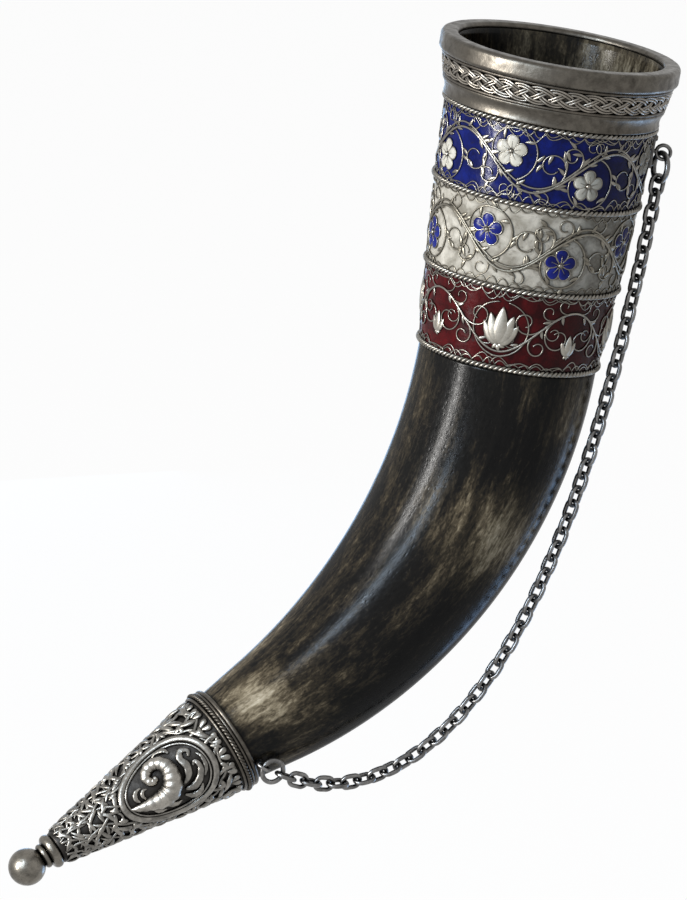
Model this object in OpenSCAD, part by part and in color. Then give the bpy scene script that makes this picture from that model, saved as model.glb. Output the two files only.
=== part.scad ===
// Drinking horn with a silver rim, three enamelled bands, a cast tip cap and a hanging chain.
// Lengths in millimetres, angles in degrees. The curve of the horn lies in the XZ plane.
// A station is a distance along the centreline, from the top of the rim towards the tip.
// A bearing is an angle around the horn, from its outer (convex) back towards -Y.

/* [Centreline] */
// Lean of the mouth's axis from the vertical
mouth_lean = 10.4; // [0:0.1:25]
// Radius of the bend
bend_r = 177.7; // [150:0.1:260]
// Angle of the bend
bend_angle = 54.4; // [35:0.1:70]
// Straight length between the bend and the cap
tail_len = 23.5; // [12:0.5:40]
// Station where a hand holds the horn
grip_station = 207; // [170:1:250]

/* [Horn] */
// Wall of the horn under the bands
horn_wall = 2.8; // [2:0.1:4]
// Step in from the enamel at the foot wire to the bare horn
foot_step = 0.3; // [0.1:0.1:1]
// Fall of the outer radius from the bands to halfway along the bare horn
upper_fall = 3.9; // [2:0.1:6]
// Fall of the outer radius from there to the cap
lower_fall = 11.7; // [8:0.1:13]
// Depth of the drinking hollow, along the centreline
hollow_depth = 285; // [200:1:295]
// Length of the horn's tip inside the cap
tip_len = 40; // [20:1:50]

/* [Rim] */
// Outer radius of the lip
rim_r = 46; // [44.5:0.1:50]
// Width of the lip, from the mouth to the outside
lip_w = 6.6; // [6:0.1:8]
// Height of the lip
lip_h = 7.6; // [6:0.1:10]
// Thickness of the lip over the horn's edge
lip_cap_t = 2.2; // [1.5:0.1:4]
// Rounding of the lip's outer edges
lip_round = 1.8; // [0.8:0.1:2.5]
// Rounding of the mouth's edge
mouth_round = 0.4; // [0.2:0.1:0.6]
// Height of the knotwork frieze
frieze_h = 9.6; // [7:0.1:14]
// Step in from the lip to the frieze
frieze_step = 1.3; // [0.6:0.1:2]
// Depth of the channel that the knotwork lies in
channel_depth = 1.3; // [0.8:0.1:1.5]
// Height of the frieze's plain borders
frieze_border_h = 1; // [0.6:0.1:1.5]
// Height of the hollow moulding
moulding_h = 6.6; // [4:0.1:10]
// Depth of the moulding's hollow
moulding_hollow = 0.6; // [0.3:0.1:1]
// Diameter of the knotwork's strands
strand_d = 1.4; // [1:0.1:1.6]
// Rise of a strand over the one that it crosses
strand_lift = 0.8; // [0.8:0.05:1]
// Crossings of the knotwork around the rim, in waves of a strand
strand_waves = 16; // [10:1:22]

/* [Enamel bands] */
// Diameter of the twisted border wires
rope_d = 2.3; // [1.6:0.1:3]
// Distance between the wires beside the blue band
blue_pitch = 30; // [24:0.5:40]
// Distance between the wires beside the white band
white_pitch = 33; // [24:0.5:40]
// Distance between the wires beside the red band
red_pitch = 31; // [24:0.5:40]
// Step in from the lip's outside to the enamel at the rim's wire
band_step = 5.7; // [5:0.1:6]
// Fall of the enamel's radius along the blue band
blue_fall = 1; // [0:0.1:3]
// Fall of the enamel's radius along the white band
white_fall = 2.3; // [0:0.1:4]
// Fall of the enamel's radius along the red band
red_fall = 2.5; // [0:0.1:4]
// Thickness of the enamel
enamel_t = 1; // [0.8:0.05:1.5]
// Thickness of the sleeve under the enamel
sleeve_t = 0.8; // [0.5:0.05:1.2]
// Clearance between the horn and its mounts
seat_gap = 0.15; // [0.05:0.01:0.3]

/* [Band ornament] */
// Waves of each running scroll around its band
vine_waves = 4; // [3:1:6]
// Rise of a scroll from the middle of its band
vine_rise = 9; // [5:0.1:10]
// Diameter of the scroll wires
vine_d = 1.4; // [0.9:0.1:2]
// Bearing of a crest of the blue scroll
blue_crest_angle = 77; // [0:1:90]
// Bearing of a crest of the white scroll
white_crest_angle = 84; // [0:1:90]
// Bearing of a crest of the red scroll
red_crest_angle = 81; // [0:1:90]
// Radius of the flowers
flower_r = 5.8; // [4:0.1:7]
// Height of the ornament over the enamel
ornament_h = 0.7; // [0.4:0.1:1.2]
// Depth to which ornament is set into the enamel
ornament_set = 0.85; // [0.5:0.05:0.9]
// Length of a palmette's middle leaf
palmette_len = 14; // [9:0.1:16]

/* [Tip cap] */
// Length of the cap
cap_len = 76; // [60:1:100]
// Outer radius of the cap at its end
cap_end_r = 6.4; // [5.5:0.1:9]
// Wall of the cap, measured across its axis
cap_wall = 1.15; // [0.8:0.05:2]
// Height of the collar that closes the cap's mouth
collar_h = 3.2; // [2:0.1:5]
// How far the collar stands out from the cap
collar_out = 1.1; // [0.5:0.1:2]
// Diameter of the cabled wire under the collar
cable_d = 1.9; // [1.2:0.1:2.5]
// Diameter of the fillet wire under the cable
fillet_d = 1.3; // [0.8:0.1:2]
// Distance from the cap's mouth to the middle of the medallion
medallion_drop = 29; // [22:0.5:34]
// Bearing of the middle of the medallion
medallion_bearing = 111; // [90:1:140]
// Half length of the medallion, along the cap
medallion_a = 19; // [14:0.5:20]
// Half width of the medallion, around the cap
medallion_b = 14.5; // [10:0.5:16]
// Diameter of the medallion's frame
frame_d = 2.4; // [1.6:0.1:3]
// Depth to which the medallion's relief is set into the cap
relief_set = 0.7; // [0.4:0.05:0.75]
// Thickness of the beast's body at its fullest
beast_d = 6; // [4:0.1:7]

/* [Finial] */
// Radius of the neck's collar
neck_r = 6.95; // [6:0.05:9]
// Height of the neck's collar
neck_h = 4.2; // [3:0.1:7]
// Radius of the ring between neck and ball
neck_ring_r = 5; // [4:0.1:6]
// Height of that ring
neck_ring_h = 2.6; // [1.5:0.1:4]
// Diameter of the ball
ball_d = 14.3; // [10:0.1:20]
// Diameter of the stud through cap, neck and ball
stud_d = 3; // [2:0.1:4]
// Depth of the stud in the bedding
stud_grip = 12; // [6:0.5:20]

/* [Eyes and rings] */
// Station of the upper eye
upper_station = 33; // [31:0.5:45]
// Bearing of the upper eye
upper_bearing = 30; // [0:1:60]
// Standoff of the upper eye's centre from the band
upper_standoff = 4.7; // [4.5:0.1:7]
// Distance from the cap's mouth back to the lower eye
lower_back = 5; // [4.9:0.1:12]
// Bearing of the lower eye
lower_bearing = 72; // [50:1:90]
// Standoff of the lower eye's centre from the horn
lower_standoff = 3.2; // [3:0.1:5]
// Middle radius of the upper eye
upper_eye_r = 2.7; // [2.5:0.1:3.2]
// Wire of the upper eye
upper_eye_d = 1.5; // [1.2:0.1:1.7]
// Middle radius of the lower eye
lower_eye_r = 2.4; // [2.3:0.1:2.7]
// Wire of the lower eye
lower_eye_d = 1.4; // [1:0.1:1.5]
// Length of the screw shank in the horn
shank_len = 8; // [5:0.5:9]
// Middle radius of the upper ring
upper_ring_r = 5.35; // [4.5:0.05:6]
// Wire of the upper ring
upper_ring_d = 2.2; // [1.6:0.1:2.4]
// Middle radius of the lower ring
lower_ring_r = 4.35; // [3.8:0.05:5]
// Wire of the lower ring
lower_ring_d = 1.9; // [1.4:0.1:2]
// Play of the upper ring in its eye
upper_play = 0.45; // [0.35:0.05:0.6]
// Play of the lower ring in its eye
lower_play = 0.3; // [0.2:0.05:0.4]
// Width of the upper eye's plate
plate_w = 5; // [4:0.1:7]
// Height of the upper eye's plate
plate_h = 13; // [10:0.5:13.5]
// Thickness of the upper eye's plate
plate_t = 1.2; // [0.8:0.1:1.4]
// Diameter of the plate's rivets
rivet_d = 1.6; // [1.2:0.1:2]

/* [Chain] */
// Outer length of a link
link_len = 9.4; // [8.8:0.1:11]
// Outer width of a link
link_w = 6.8; // [6.2:0.1:7.4]
// Wire of the links
link_d = 1.8; // [1.4:0.1:1.9]
// Gap between links that pull on each other
link_gap = 0.15; // [0.1:0.05:0.3]
// Links in the chain, an even count
link_count = 54; // [54:2:70]
// Twist of the chain between its ends
chain_twist = -20; // [-60:5:60]
// Links at each end that take up the twist
twist_links = 9; // [6:1:20]

/* [Hidden] */
$fn = 96;
horn_sides = 48;
bare_steps = 24;
hollow_steps = 16;
wire_sides = 6;
overlap = 0.01;
runs = 9;

silver = [0.62, 0.61, 0.58];
dark_silver = [0.36, 0.35, 0.33];

// Stations of the rim's parts, the four wires and the foot of the bands
frieze_top = lip_h;
moulding_top = frieze_top + frieze_h;
rim_wire = moulding_top + moulding_h + rope_d / 2;
blue_wire = rim_wire + blue_pitch;
white_wire = blue_wire + white_pitch;
foot_wire = white_wire + red_pitch;
sleeve_end = foot_wire + rope_d / 2;
foot_station = sleeve_end + seat_gap;
// Radii that follow from the rim
mouth_r = rim_r - lip_w;
band_rim_r = rim_r - band_step;
band_blue_r = band_rim_r - blue_fall;
band_white_r = band_blue_r - white_fall;
band_foot_r = band_white_r - red_fall;
horn_foot_r = band_foot_r - foot_step;
horn_mid_r = horn_foot_r - upper_fall;
horn_collar_r = horn_mid_r - lower_fall;
cap_r = horn_collar_r + seat_gap + cap_wall;
// Centreline: straight under the bands, then an arc, then straight again along the cap
bend_start = foot_station;
bend_len = bend_r * bend_angle * PI / 180;
bend_end = bend_start + bend_len;
cap_station = bend_end + tail_len;
lower_station = cap_station - lower_back;
function lean(s) = mouth_lean + bend_angle * min(1, max(0, (s - bend_start) / bend_len));
function back(s) = [cos(lean(s)), 0, -sin(lean(s))];
function along(s) = [-sin(lean(s)), 0, -cos(lean(s))];
function raw_point(s) =
    s <= bend_start ? s * along(0)
    : bend_start * along(0) + bend_r * (back(min(s, bend_end)) - back(0)) + max(0, s - bend_end) * along(s);
function point(s) = raw_point(s) - raw_point(grip_station);
function outward(s, bearing) = cos(bearing) * back(s) - sin(bearing) * [0, 1, 0];
function on_horn(s, bearing, r) = point(s) + r * outward(s, bearing);
// Local frame at a station: +Z towards the mouth, +X towards the horn's back
module at_station(s) {
    translate(point(s)) rotate([0, lean(s), 0]) children();
}
// Local frame on a surface of radius r: +X outward, +Z towards the mouth
module on_surface(s, bearing, r) {
    at_station(s) rotate([0, 0, -bearing]) translate([r, 0, 0]) children();
}
// Solid of revolution around the mouth's axis, from pairs of radius and station
module turned_rim(profile) {
    at_station(0) rotate_extrude() polygon([for (p = profile) [p[0], -p[1]]]);
}
// The same around the cap's axis
module turned_cap(profile) {
    at_station(cap_station) rotate_extrude() polygon([for (p = profile) [p[0], cap_station - p[1]]]);
}
// Plain ring of round wire around the local Z axis
module wire_ring(middle_r, d) {
    rotate_extrude() translate([middle_r, 0]) circle(d = d);
}
// Points of a quarter arc between two angles, around a centre in radius and station
function arc(centre, r, from, to) = [for (i = [0:6]) centre + r * [cos(from + (to - from) * i / 6),
                                                                 -sin(from + (to - from) * i / 6)]];

// Radius of the enamel, carried on past both ends of the bands, and of the seat on the horn
mount_t = enamel_t + sleeve_t;
band_line = [
    [0, mouth_r + horn_wall + seat_gap + mount_t], [rim_wire, band_rim_r], [blue_wire, band_blue_r],
    [white_wire, band_white_r], [foot_wire, band_foot_r], [foot_wire + red_pitch, band_foot_r - red_fall]];
function band_r(s) = lookup(s, band_line);
function seat_r(s) = band_r(s) - mount_t;
function neck_seat_r(s) = seat_r(s) - seat_gap;
// Radius of the bare horn: a parabola through the foot, the middle and the collar
function bare_r(s) =
    let (t = (s - foot_station) / (cap_station - foot_station))
    (1 - t) * (1 - 2 * t) * horn_foot_r + 4 * t * (1 - t) * horn_mid_r + t * (2 * t - 1) * horn_collar_r;
// Radius of the hollow: parallel to the seat under the bands, then closing like a quarter ellipse
function hollow_r(s) =
    s <= foot_station ? neck_seat_r(s) - horn_wall
    : (neck_seat_r(foot_station) - horn_wall)
      * sqrt(max(0, 1 - pow((s - foot_station) / (hollow_depth - foot_station), 2)));
// Cap: outer and inner radius, and the slope of its wall
cap_end = cap_station + cap_len;
cap_slope = (cap_r - cap_end_r) / cap_len;
cap_tilt = atan(cap_slope);
function cap_outer(s) = cap_r - cap_slope * (s - cap_station);
function cap_inner(s) = cap_outer(s) - cap_wall;
function tip_r(s) = horn_collar_r - cap_slope * (s - cap_station);

// Closed skin through rings of points, with a point at each end
function skin_faces(rings, n) = concat(
    [for (k = [0:n - 1]) [0, 1 + (k + 1) % n, 1 + k]],
    [for (i = [0:rings - 2], k = [0:n - 1]) [1 + i * n + k, 1 + i * n + (k + 1) % n, 1 + (i + 1) * n + k]],
    [for (i = [0:rings - 2], k = [0:n - 1]) [1 + i * n + (k + 1) % n, 1 + (i + 1) * n + (k + 1) % n,
                                             1 + (i + 1) * n + k]],
    [for (k = [0:n - 1]) [1 + rings * n, 1 + (rings - 1) * n + k, 1 + (rings - 1) * n + (k + 1) % n]]);
module skin(start, rings, finish) {
    n = len(rings[0]);
    polyhedron(concat([start], [for (ring = rings) each ring], [finish]), skin_faces(len(rings), n));
}
// Closed loop of tube through rings of points
function loop_faces(rings, n) = concat(
    [for (i = [0:rings - 1], k = [0:n - 1]) [i * n + k, i * n + (k + 1) % n, ((i + 1) % rings) * n + k]],
    [for (i = [0:rings - 1], k = [0:n - 1]) [i * n + (k + 1) % n, ((i + 1) % rings) * n + (k + 1) % n,
                                             ((i + 1) % rings) * n + k]]);
module loop_tube(rings) {
    polyhedron([for (ring = rings) each ring], loop_faces(len(rings), len(rings[0])));
}
function unit(v) = v / norm(v);
// Ring of points around a path point, square to the path
function tube_ring(p, dir, up, r, n) =
    let (side = unit(cross(dir, up)), over = cross(side, dir))
    [for (k = [0:n - 1]) p + r * (cos(360 * k / n) * side + sin(360 * k / n) * over)];

// Horn
function horn_ring(s, r) = [for (k = [0:horn_sides - 1]) on_horn(s, 360 * k / horn_sides, r)];
tip_end = cap_station + tip_len;
bare_stations = [for (i = [bare_steps:-1:0]) foot_station + (cap_station - foot_station) * i / bare_steps];
hollow_ends = [for (i = [1:hollow_steps - 1]) foot_station
               + (hollow_depth - foot_station) * sin(90 * i / hollow_steps)];
module horn_shell() {
    outer = concat([horn_ring(tip_end, tip_r(tip_end))], [for (s = bare_stations) horn_ring(s, bare_r(s))]);
    seat = [for (s = [foot_station, foot_wire, white_wire, blue_wire, rim_wire, lip_cap_t])
            horn_ring(s, neck_seat_r(s))];
    hollow = [for (s = concat([lip_cap_t, rim_wire, blue_wire, white_wire, foot_station], hollow_ends))
              horn_ring(s, hollow_r(s))];
    color([0.16, 0.13, 0.1]) skin(point(tip_end), concat(outer, seat, hollow), point(hollow_depth));
}

// Rim
frieze_top_r = rim_r - frieze_step;
moulding_foot_r = band_rim_r + rope_d / 2;
function rim_line(s) = lookup(s, [[frieze_top, frieze_top_r], [rim_wire - rope_d / 2, moulding_foot_r]]);
module rim_lip() {
    color(silver) turned_rim(concat(
        arc([mouth_r + mouth_round, mouth_round], mouth_round, 180, 90),
        arc([rim_r - lip_round, lip_round], lip_round, 90, 0),
        arc([rim_r - lip_round, lip_h - lip_round], lip_round, 0, -90),
        [[seat_r(lip_h), lip_h], [seat_r(lip_cap_t), lip_cap_t], [mouth_r, lip_cap_t]]));
}
module rim_frieze() {
    top = frieze_top + frieze_border_h;
    end = moulding_top - frieze_border_h;
    color(dark_silver) turned_rim([
        [seat_r(frieze_top), frieze_top], [rim_line(frieze_top), frieze_top], [rim_line(top), top],
        [rim_line(top) - channel_depth, top], [rim_line(end) - channel_depth, end],
        [rim_line(end), end], [rim_line(moulding_top), moulding_top], [seat_r(moulding_top), moulding_top]]);
}
module rim_moulding() {
    end = rim_wire - rope_d / 2;
    middle = (moulding_top + end) / 2;
    color(silver) turned_rim([
        [seat_r(moulding_top), moulding_top], [rim_line(moulding_top), moulding_top],
        [rim_line(moulding_top), moulding_top + frieze_border_h],
        [rim_line(middle) - moulding_hollow, middle],
        [rim_line(end), end - frieze_border_h / 2], [rim_line(end), end], [seat_r(end), end]]);
}
// Two strands, half a wave apart, that pass over and under each other in the channel
strand_steps = 8 * strand_waves;
strand_mid = (frieze_top + moulding_top) / 2;
strand_rise = frieze_h / 2 - frieze_border_h - strand_d / 2;
function strand_point(i, phase) =
    let (turn = 360 * i / strand_steps, wave = strand_waves * turn + phase,
         s = strand_mid + strand_rise * sin(wave))
    on_horn(s, turn, rim_line(s) - channel_depth + strand_d / 2 + strand_lift * cos(wave));
module strand(phase) {
    loop_tube([for (i = [0:strand_steps - 1])
        let (p = strand_point(i, phase),
             dir = unit(strand_point(i + 1, phase) - strand_point(i - 1, phase)))
        tube_ring(p, dir, outward(strand_mid, 360 * i / strand_steps), strand_d / 2, wire_sides)]);
}
module rim_interlace() {
    color(silver) {
        strand(0);
        strand(180);
    }
}
module band_sleeve() {
    top = rim_wire - rope_d / 2;
    stations = [top, rim_wire, blue_wire, white_wire, sleeve_end];
    color(dark_silver) turned_rim(concat(
        [for (s = stations) [seat_r(s) + sleeve_t, s]],
        [for (i = [len(stations) - 1:-1:0]) [seat_r(stations[i]), stations[i]]]));
}
module border_rope(s) {
    color(silver) at_station(s) wire_ring(band_r(s) - enamel_t + rope_d / 2 + overlap, rope_d);
}

// Enamel bands, each between two border wires
module blue_enamel() {
    color([0.05, 0.1, 0.45]) enamel(rim_wire, blue_wire);
}
module white_enamel() {
    color([0.82, 0.8, 0.75]) enamel(blue_wire, white_wire);
}
module red_enamel() {
    color([0.3, 0.04, 0.05]) enamel(white_wire, foot_wire);
}
module enamel(top_wire, end_wire) {
    top = top_wire + rope_d / 2;
    end = end_wire - rope_d / 2;
    turned_rim([[band_r(top), top], [band_r(end), end], [band_r(end) - enamel_t, end],
                [band_r(top) - enamel_t, top]]);
}
// Running scroll around the middle of a band
vine_steps = 24 * vine_waves;
function vine_point(i, middle, crest) =
    let (turn = 360 * i / vine_steps, s = middle - vine_rise * cos(vine_waves * (turn - crest)))
    on_horn(s, turn, band_r(s));
module vine(top_wire, end_wire, crest) {
    middle = (top_wire + end_wire) / 2;
    color(silver) loop_tube([for (i = [0:vine_steps - 1])
        let (p = vine_point(i, middle, crest),
             dir = unit(vine_point(i + 1, middle, crest) - vine_point(i - 1, middle, crest)))
        tube_ring(p, dir, outward(middle, 360 * i / vine_steps), vine_d / 2, wire_sides)]);
}
// Flat outline carried outward through a band and cut to its curve
module set_in_band(top_wire, end_wire, s, bearing) {
    intersection() {
        on_surface(s, bearing, band_r(s) / 2) rotate([90, 0, 90]) linear_extrude(band_r(s)) children();
        turned_rim([
            [band_r(top_wire) + ornament_h, top_wire], [band_r(end_wire) + ornament_h, end_wire],
            [band_r(end_wire) - ornament_set, end_wire], [band_r(top_wire) - ornament_set, top_wire]]);
    }
}
petals = 5;
petal_share = 0.46;
heart_share = 0.3;
module flower_outline(r) {
    petal_r = petal_share * r;
    for (i = [0:petals - 1]) rotate(90 + 360 * i / petals) translate([r - petal_r, 0]) circle(petal_r);
    circle(heart_share * r);
}
// One flower under each crest and one over each trough of the scroll
flower_shift = 14;
flower_drop = vine_rise / 2;
module flowers(top_wire, end_wire, crest) {
    middle = (top_wire + end_wire) / 2;
    for (i = [0:vine_waves - 1]) {
        bearing = crest + flower_shift + 360 * i / vine_waves;
        set_in_band(top_wire, end_wire, middle + flower_drop, bearing) flower_outline(flower_r);
        set_in_band(top_wire, end_wire, middle - flower_drop, bearing + 180 / vine_waves)
            flower_outline(flower_r);
    }
}
module blue_band_flowers() {
    color([0.9, 0.89, 0.83]) flowers(rim_wire, blue_wire, blue_crest_angle);
}
module white_band_flowers() {
    color([0.1, 0.14, 0.5]) flowers(blue_wire, white_wire, white_crest_angle);
}
// Pointed leaf between two arcs, from its root along +Y
module leaf(length, width) {
    r = (length * length + width * width) / (4 * width);
    intersection() {
        translate([r - width / 2, length / 2]) circle(r);
        translate([width / 2 - r, length / 2]) circle(r);
    }
}
leaf_spread = 33;
leaf_shrink = 0.17;
leaf_w_share = 0.3;
small_share = 0.6;
root_share = 0.35;
knob_share = 0.1;
module palmette(size) {
    circle(knob_share * size);
    for (i = [-2:2]) rotate(leaf_spread * i) leaf(size * (1 - leaf_shrink * abs(i)), size * leaf_w_share);
}
module red_band_palmettes() {
    middle = (white_wire + foot_wire) / 2;
    small = small_share * palmette_len;
    color([0.8, 0.79, 0.74]) for (i = [0:vine_waves - 1]) {
        bearing = red_crest_angle + 360 * i / vine_waves;
        set_in_band(white_wire, foot_wire, middle + root_share * palmette_len, bearing + 180 / vine_waves)
            palmette(palmette_len);
        set_in_band(white_wire, foot_wire, middle + small, bearing) palmette(small);
    }
}

// Eyes, rings and chain. The chain hangs in the upright plane through the two eyes.
function upper_eye_at() = on_horn(upper_station, upper_bearing, band_r(upper_station) + upper_standoff);
function lower_eye_at() = on_horn(lower_station, lower_bearing, bare_r(lower_station) + lower_standoff);
chain_from = upper_eye_at();
chain_span = lower_eye_at() - chain_from;
chain_run = norm([chain_span[0], chain_span[1]]);
chain_drop = chain_span[2];
chain_heading = atan2(chain_span[1], chain_span[0]);
// Distances along the chain, from the upper eye's middle
link_pitch = link_len - 2 * link_d - link_gap;
link_reach = (link_len - link_d) / 2;
upper_ring_at = upper_eye_r - upper_eye_d / 2 - upper_ring_d / 2 - upper_play + upper_ring_r;
first_link_at = upper_ring_at + upper_ring_r - upper_ring_d / 2 - link_d / 2 - link_gap + link_reach;
function link_at(i) = first_link_at + i * link_pitch;
lower_ring_at = link_at(link_count - 1) + link_reach + lower_ring_r - lower_ring_d / 2 - link_d / 2 - link_gap;
chain_len = lower_ring_at + lower_ring_r + lower_eye_r - lower_eye_d / 2 - lower_ring_d / 2 - lower_play;
// Catenary of that length between the eyes, its size found by halving an interval
hang_spread = 40;
hang_halvings = 60;
function sinh(x) = (exp(x) - exp(-x)) / 2;
function cosh(x) = (exp(x) + exp(-x)) / 2;
function asinh(x) = ln(x + sqrt(x * x + 1));
slack_len = sqrt(chain_len * chain_len - chain_drop * chain_drop);
function hang(low, high, left) =
    let (mid = (low + high) / 2)
    left == 0 ? mid
    : 2 * mid * sinh(chain_run / (2 * mid)) > slack_len ? hang(mid, high, left - 1) : hang(low, mid, left - 1);
hang_a = hang(chain_run / hang_spread, chain_run * hang_spread, hang_halvings);
hang_x = chain_run / 2 - hang_a * asinh(chain_drop / (2 * hang_a * sinh(chain_run / (2 * hang_a))));
function hang_run(d) = hang_x + hang_a * asinh(sinh(-hang_x / hang_a) + d / hang_a);
function hang_slope(d) = atan(sinh((hang_run(d) - hang_x) / hang_a));
function hang_point(d) =
    let (x = hang_run(d), z = hang_a * (cosh((x - hang_x) / hang_a) - cosh(hang_x / hang_a)))
    chain_from + [x * cos(chain_heading), x * sin(chain_heading), z];
// Local frame at a distance along the chain: +X along it, XY level with it, then rolled
module on_chain(d, roll) {
    translate(hang_point(d)) rotate([0, -hang_slope(d), chain_heading]) rotate([roll, 0, 0]) children();
}
module link() {
    bend = (link_w - link_d) / 2;
    half = link_reach - bend;
    for (side = [0, 180]) rotate([0, 0, side]) {
        translate([half, 0, 0]) rotate([0, 0, -90]) rotate_extrude(angle = 180)
            translate([bend, 0]) circle(d = link_d);
        translate([-half, bend, 0]) rotate([0, 90, 0]) cylinder(h = 2 * half, d = link_d);
    }
}
// Every other link is a quarter turn round, and the chain twists towards its middle
function link_roll(i) =
    (i % 2 == 0 ? 90 : 0) + chain_twist * min(1, i / twist_links, (link_count - 1 - i) / twist_links);
module chain_links(run) {
    first = round(link_count * (run - 1) / runs);
    last = round(link_count * run / runs) - 1;
    color(dark_silver) for (i = [first:last]) on_chain(link_at(i), link_roll(i)) link();
}
module upper_ring() {
    color(dark_silver) on_chain(upper_ring_at, 0) wire_ring(upper_ring_r, upper_ring_d);
}
module lower_ring() {
    color(dark_silver) on_chain(lower_ring_at, 90) wire_ring(lower_ring_r, lower_ring_d);
}
// Turn of an eye about its outward axis, so that it lies along the pull of the chain
function pull_turn(s, bearing, dir) =
    let (up = -along(s), side = cross(up, outward(s, bearing)))
    atan2(dir * side, -(dir * up));
upper_turn = pull_turn(upper_station, upper_bearing, hang_point(upper_ring_at) - hang_point(0));
lower_turn = pull_turn(lower_station, lower_bearing, hang_point(lower_ring_at) - hang_point(chain_len));
module upper_frame() {
    on_surface(upper_station, upper_bearing, band_r(upper_station)) children();
}
rivet_spread = plate_h / 2 - rivet_d;
module upper_eye() {
    color(dark_silver) difference() {
        upper_frame() {
            rotate([upper_turn, 0, 0]) translate([upper_standoff, 0, 0]) rotate([90, 0, 0])
                wire_ring(upper_eye_r, upper_eye_d);
            rotate([0, 90, 0]) cylinder(h = upper_standoff - upper_eye_r, d = upper_eye_d);
            translate([-plate_t, -plate_w / 2, -plate_h / 2]) cube([2 * plate_t, plate_w, plate_h]);
        }
        turned_rim([[0, 0], [band_r(0), 0], [band_r(rim_wire), rim_wire], [band_r(blue_wire), blue_wire],
                    [0, blue_wire]]);
        upper_frame() for (z = [-rivet_spread, rivet_spread]) translate([-plate_t, 0, z]) rotate([0, 90, 0])
            cylinder(h = 3 * plate_t, d = rivet_d);
    }
}
module upper_eye_rivets() {
    grip = enamel_t + sleeve_t / 2;
    head_h = rivet_d / 2.5;
    head_d = 1.6 * rivet_d;
    color(silver) upper_frame() for (z = [-rivet_spread, rivet_spread]) translate([0, 0, z])
        rotate([0, 90, 0]) {
            translate([0, 0, -grip]) cylinder(h = grip + plate_t, d = rivet_d);
            translate([0, 0, plate_t]) cylinder(h = head_h, d1 = head_d, d2 = rivet_d);
        }
}
module lower_eye() {
    base_t = lower_eye_d / 2;
    base_r = lower_eye_d;
    color(dark_silver) on_surface(lower_station, lower_bearing, bare_r(lower_station))
        rotate([lower_turn, 0, 0]) {
            translate([lower_standoff, 0, 0]) rotate([90, 0, 0]) wire_ring(lower_eye_r, lower_eye_d);
            rotate([0, 90, 0]) {
                cylinder(h = lower_standoff - lower_eye_r, d = lower_eye_d);
                translate([0, 0, -base_t / 2]) cylinder(h = base_t, r = base_r);
                translate([0, 0, -shank_len]) cylinder(h = shank_len, d = lower_eye_d);
            }
        }
}

// Cap
module cap_shell() {
    floor_at = cap_end - cap_wall;
    color(dark_silver) turned_cap([
        [cap_inner(cap_station), cap_station], [cap_outer(cap_station), cap_station],
        [cap_outer(cap_end), cap_end], [stud_d / 2, cap_end], [stud_d / 2, floor_at],
        [cap_inner(floor_at), floor_at]]);
}
module cap_collar() {
    top = cap_station - collar_h;
    outer = cap_r + collar_out;
    round_r = collar_h / 2;
    inner = max(bare_r(top), bare_r(cap_station)) + seat_gap;
    color(silver) turned_cap(concat(
        [[inner, top]], arc([outer - round_r, cap_station - round_r], round_r, 90, -90),
        [[inner, cap_station]]));
}
module cap_wire(s, d) {
    color(silver) at_station(s) wire_ring(cap_outer(s) + d / 2 / cos(cap_tilt) + overlap, d);
}
cable_at = cap_station + cable_d / 2;
fillet_at = cap_station + cable_d + fillet_d / 2 + overlap;
module cap_bedding() {
    top = tip_end + seat_gap;
    end = cap_end - cap_wall;
    stud_top = cap_end - stud_grip;
    color([0.08, 0.07, 0.06]) turned_cap([
        [0, top], [cap_inner(top), top], [cap_inner(end), end], [stud_d / 2, end], [stud_d / 2, stud_top],
        [0, stud_top]]);
}
// Points of the medallion: a runs along the cap towards its mouth and b around it
medallion_at = cap_station + medallion_drop;
function medallion_point(a, b, lift = 0) =
    let (s = medallion_at - a)
    on_horn(s, medallion_bearing + b / cap_outer(medallion_at) * 180 / PI, cap_outer(s) + lift);
function medallion_out(b) = outward(cap_station, medallion_bearing + b / cap_outer(medallion_at) * 180 / PI);
frame_steps = 48;
function frame_point(i) =
    medallion_point(medallion_a * cos(360 * i / frame_steps), medallion_b * sin(360 * i / frame_steps),
                    frame_d / 2 - relief_set);
module medallion_frame() {
    color(silver) loop_tube([for (i = [0:frame_steps - 1])
        tube_ring(frame_point(i), unit(frame_point(i + 1) - frame_point(i - 1)),
                  medallion_out(medallion_b * sin(360 * i / frame_steps)), frame_d / 2, 8)]);
}
// Beast: a body that leaves the tail's point, swings round the field and coils into a scroll
beast_steps = 40;
tail_turn = -150;
coil_turn = 330;
coil_share = 0.66;
coil_end_share = 0.16;
coil_stretch = 1.15;
coil_shift = 0.05;
thin_share = 0.3;
tail_phase = 0.08;
swell = 0.8;
function beast_ab(t) =
    let (turn = tail_turn + coil_turn * t,
         r = medallion_b * (coil_share + (coil_end_share - coil_share) * t))
    [medallion_a * coil_shift * (1 - t) + coil_stretch * r * cos(turn), r * sin(turn)];
function beast_point(t) = let (q = beast_ab(t)) medallion_point(q[0], q[1]);
function beast_r(t) =
    let (phase = min(1, tail_phase + (1 - tail_phase) * pow(t, swell)))
    beast_d / 2 * (thin_share + (1 - thin_share) * sin(180 * phase));
// Ring around the beast's path, flat where it sits in the cap
function relief_ring(p, dir, up, r, n) =
    let (side = unit(cross(dir, up)), over = cross(side, dir))
    [for (k = [0:n - 1]) p + r * cos(360 * k / n) * side + max(-relief_set, r * sin(360 * k / n)) * over];
module beast_body() {
    rings = [for (i = [0:beast_steps])
        let (t = i / beast_steps, q = beast_ab(t),
             dir = unit(beast_point(t + 0.01) - beast_point(t - 0.01)))
        relief_ring(beast_point(t), dir, medallion_out(q[1]), beast_r(t), 8)];
    skin(beast_point(0), rings, beast_point(1));
}
module medallion_beast() {
    color(silver) beast_body();
}

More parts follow.
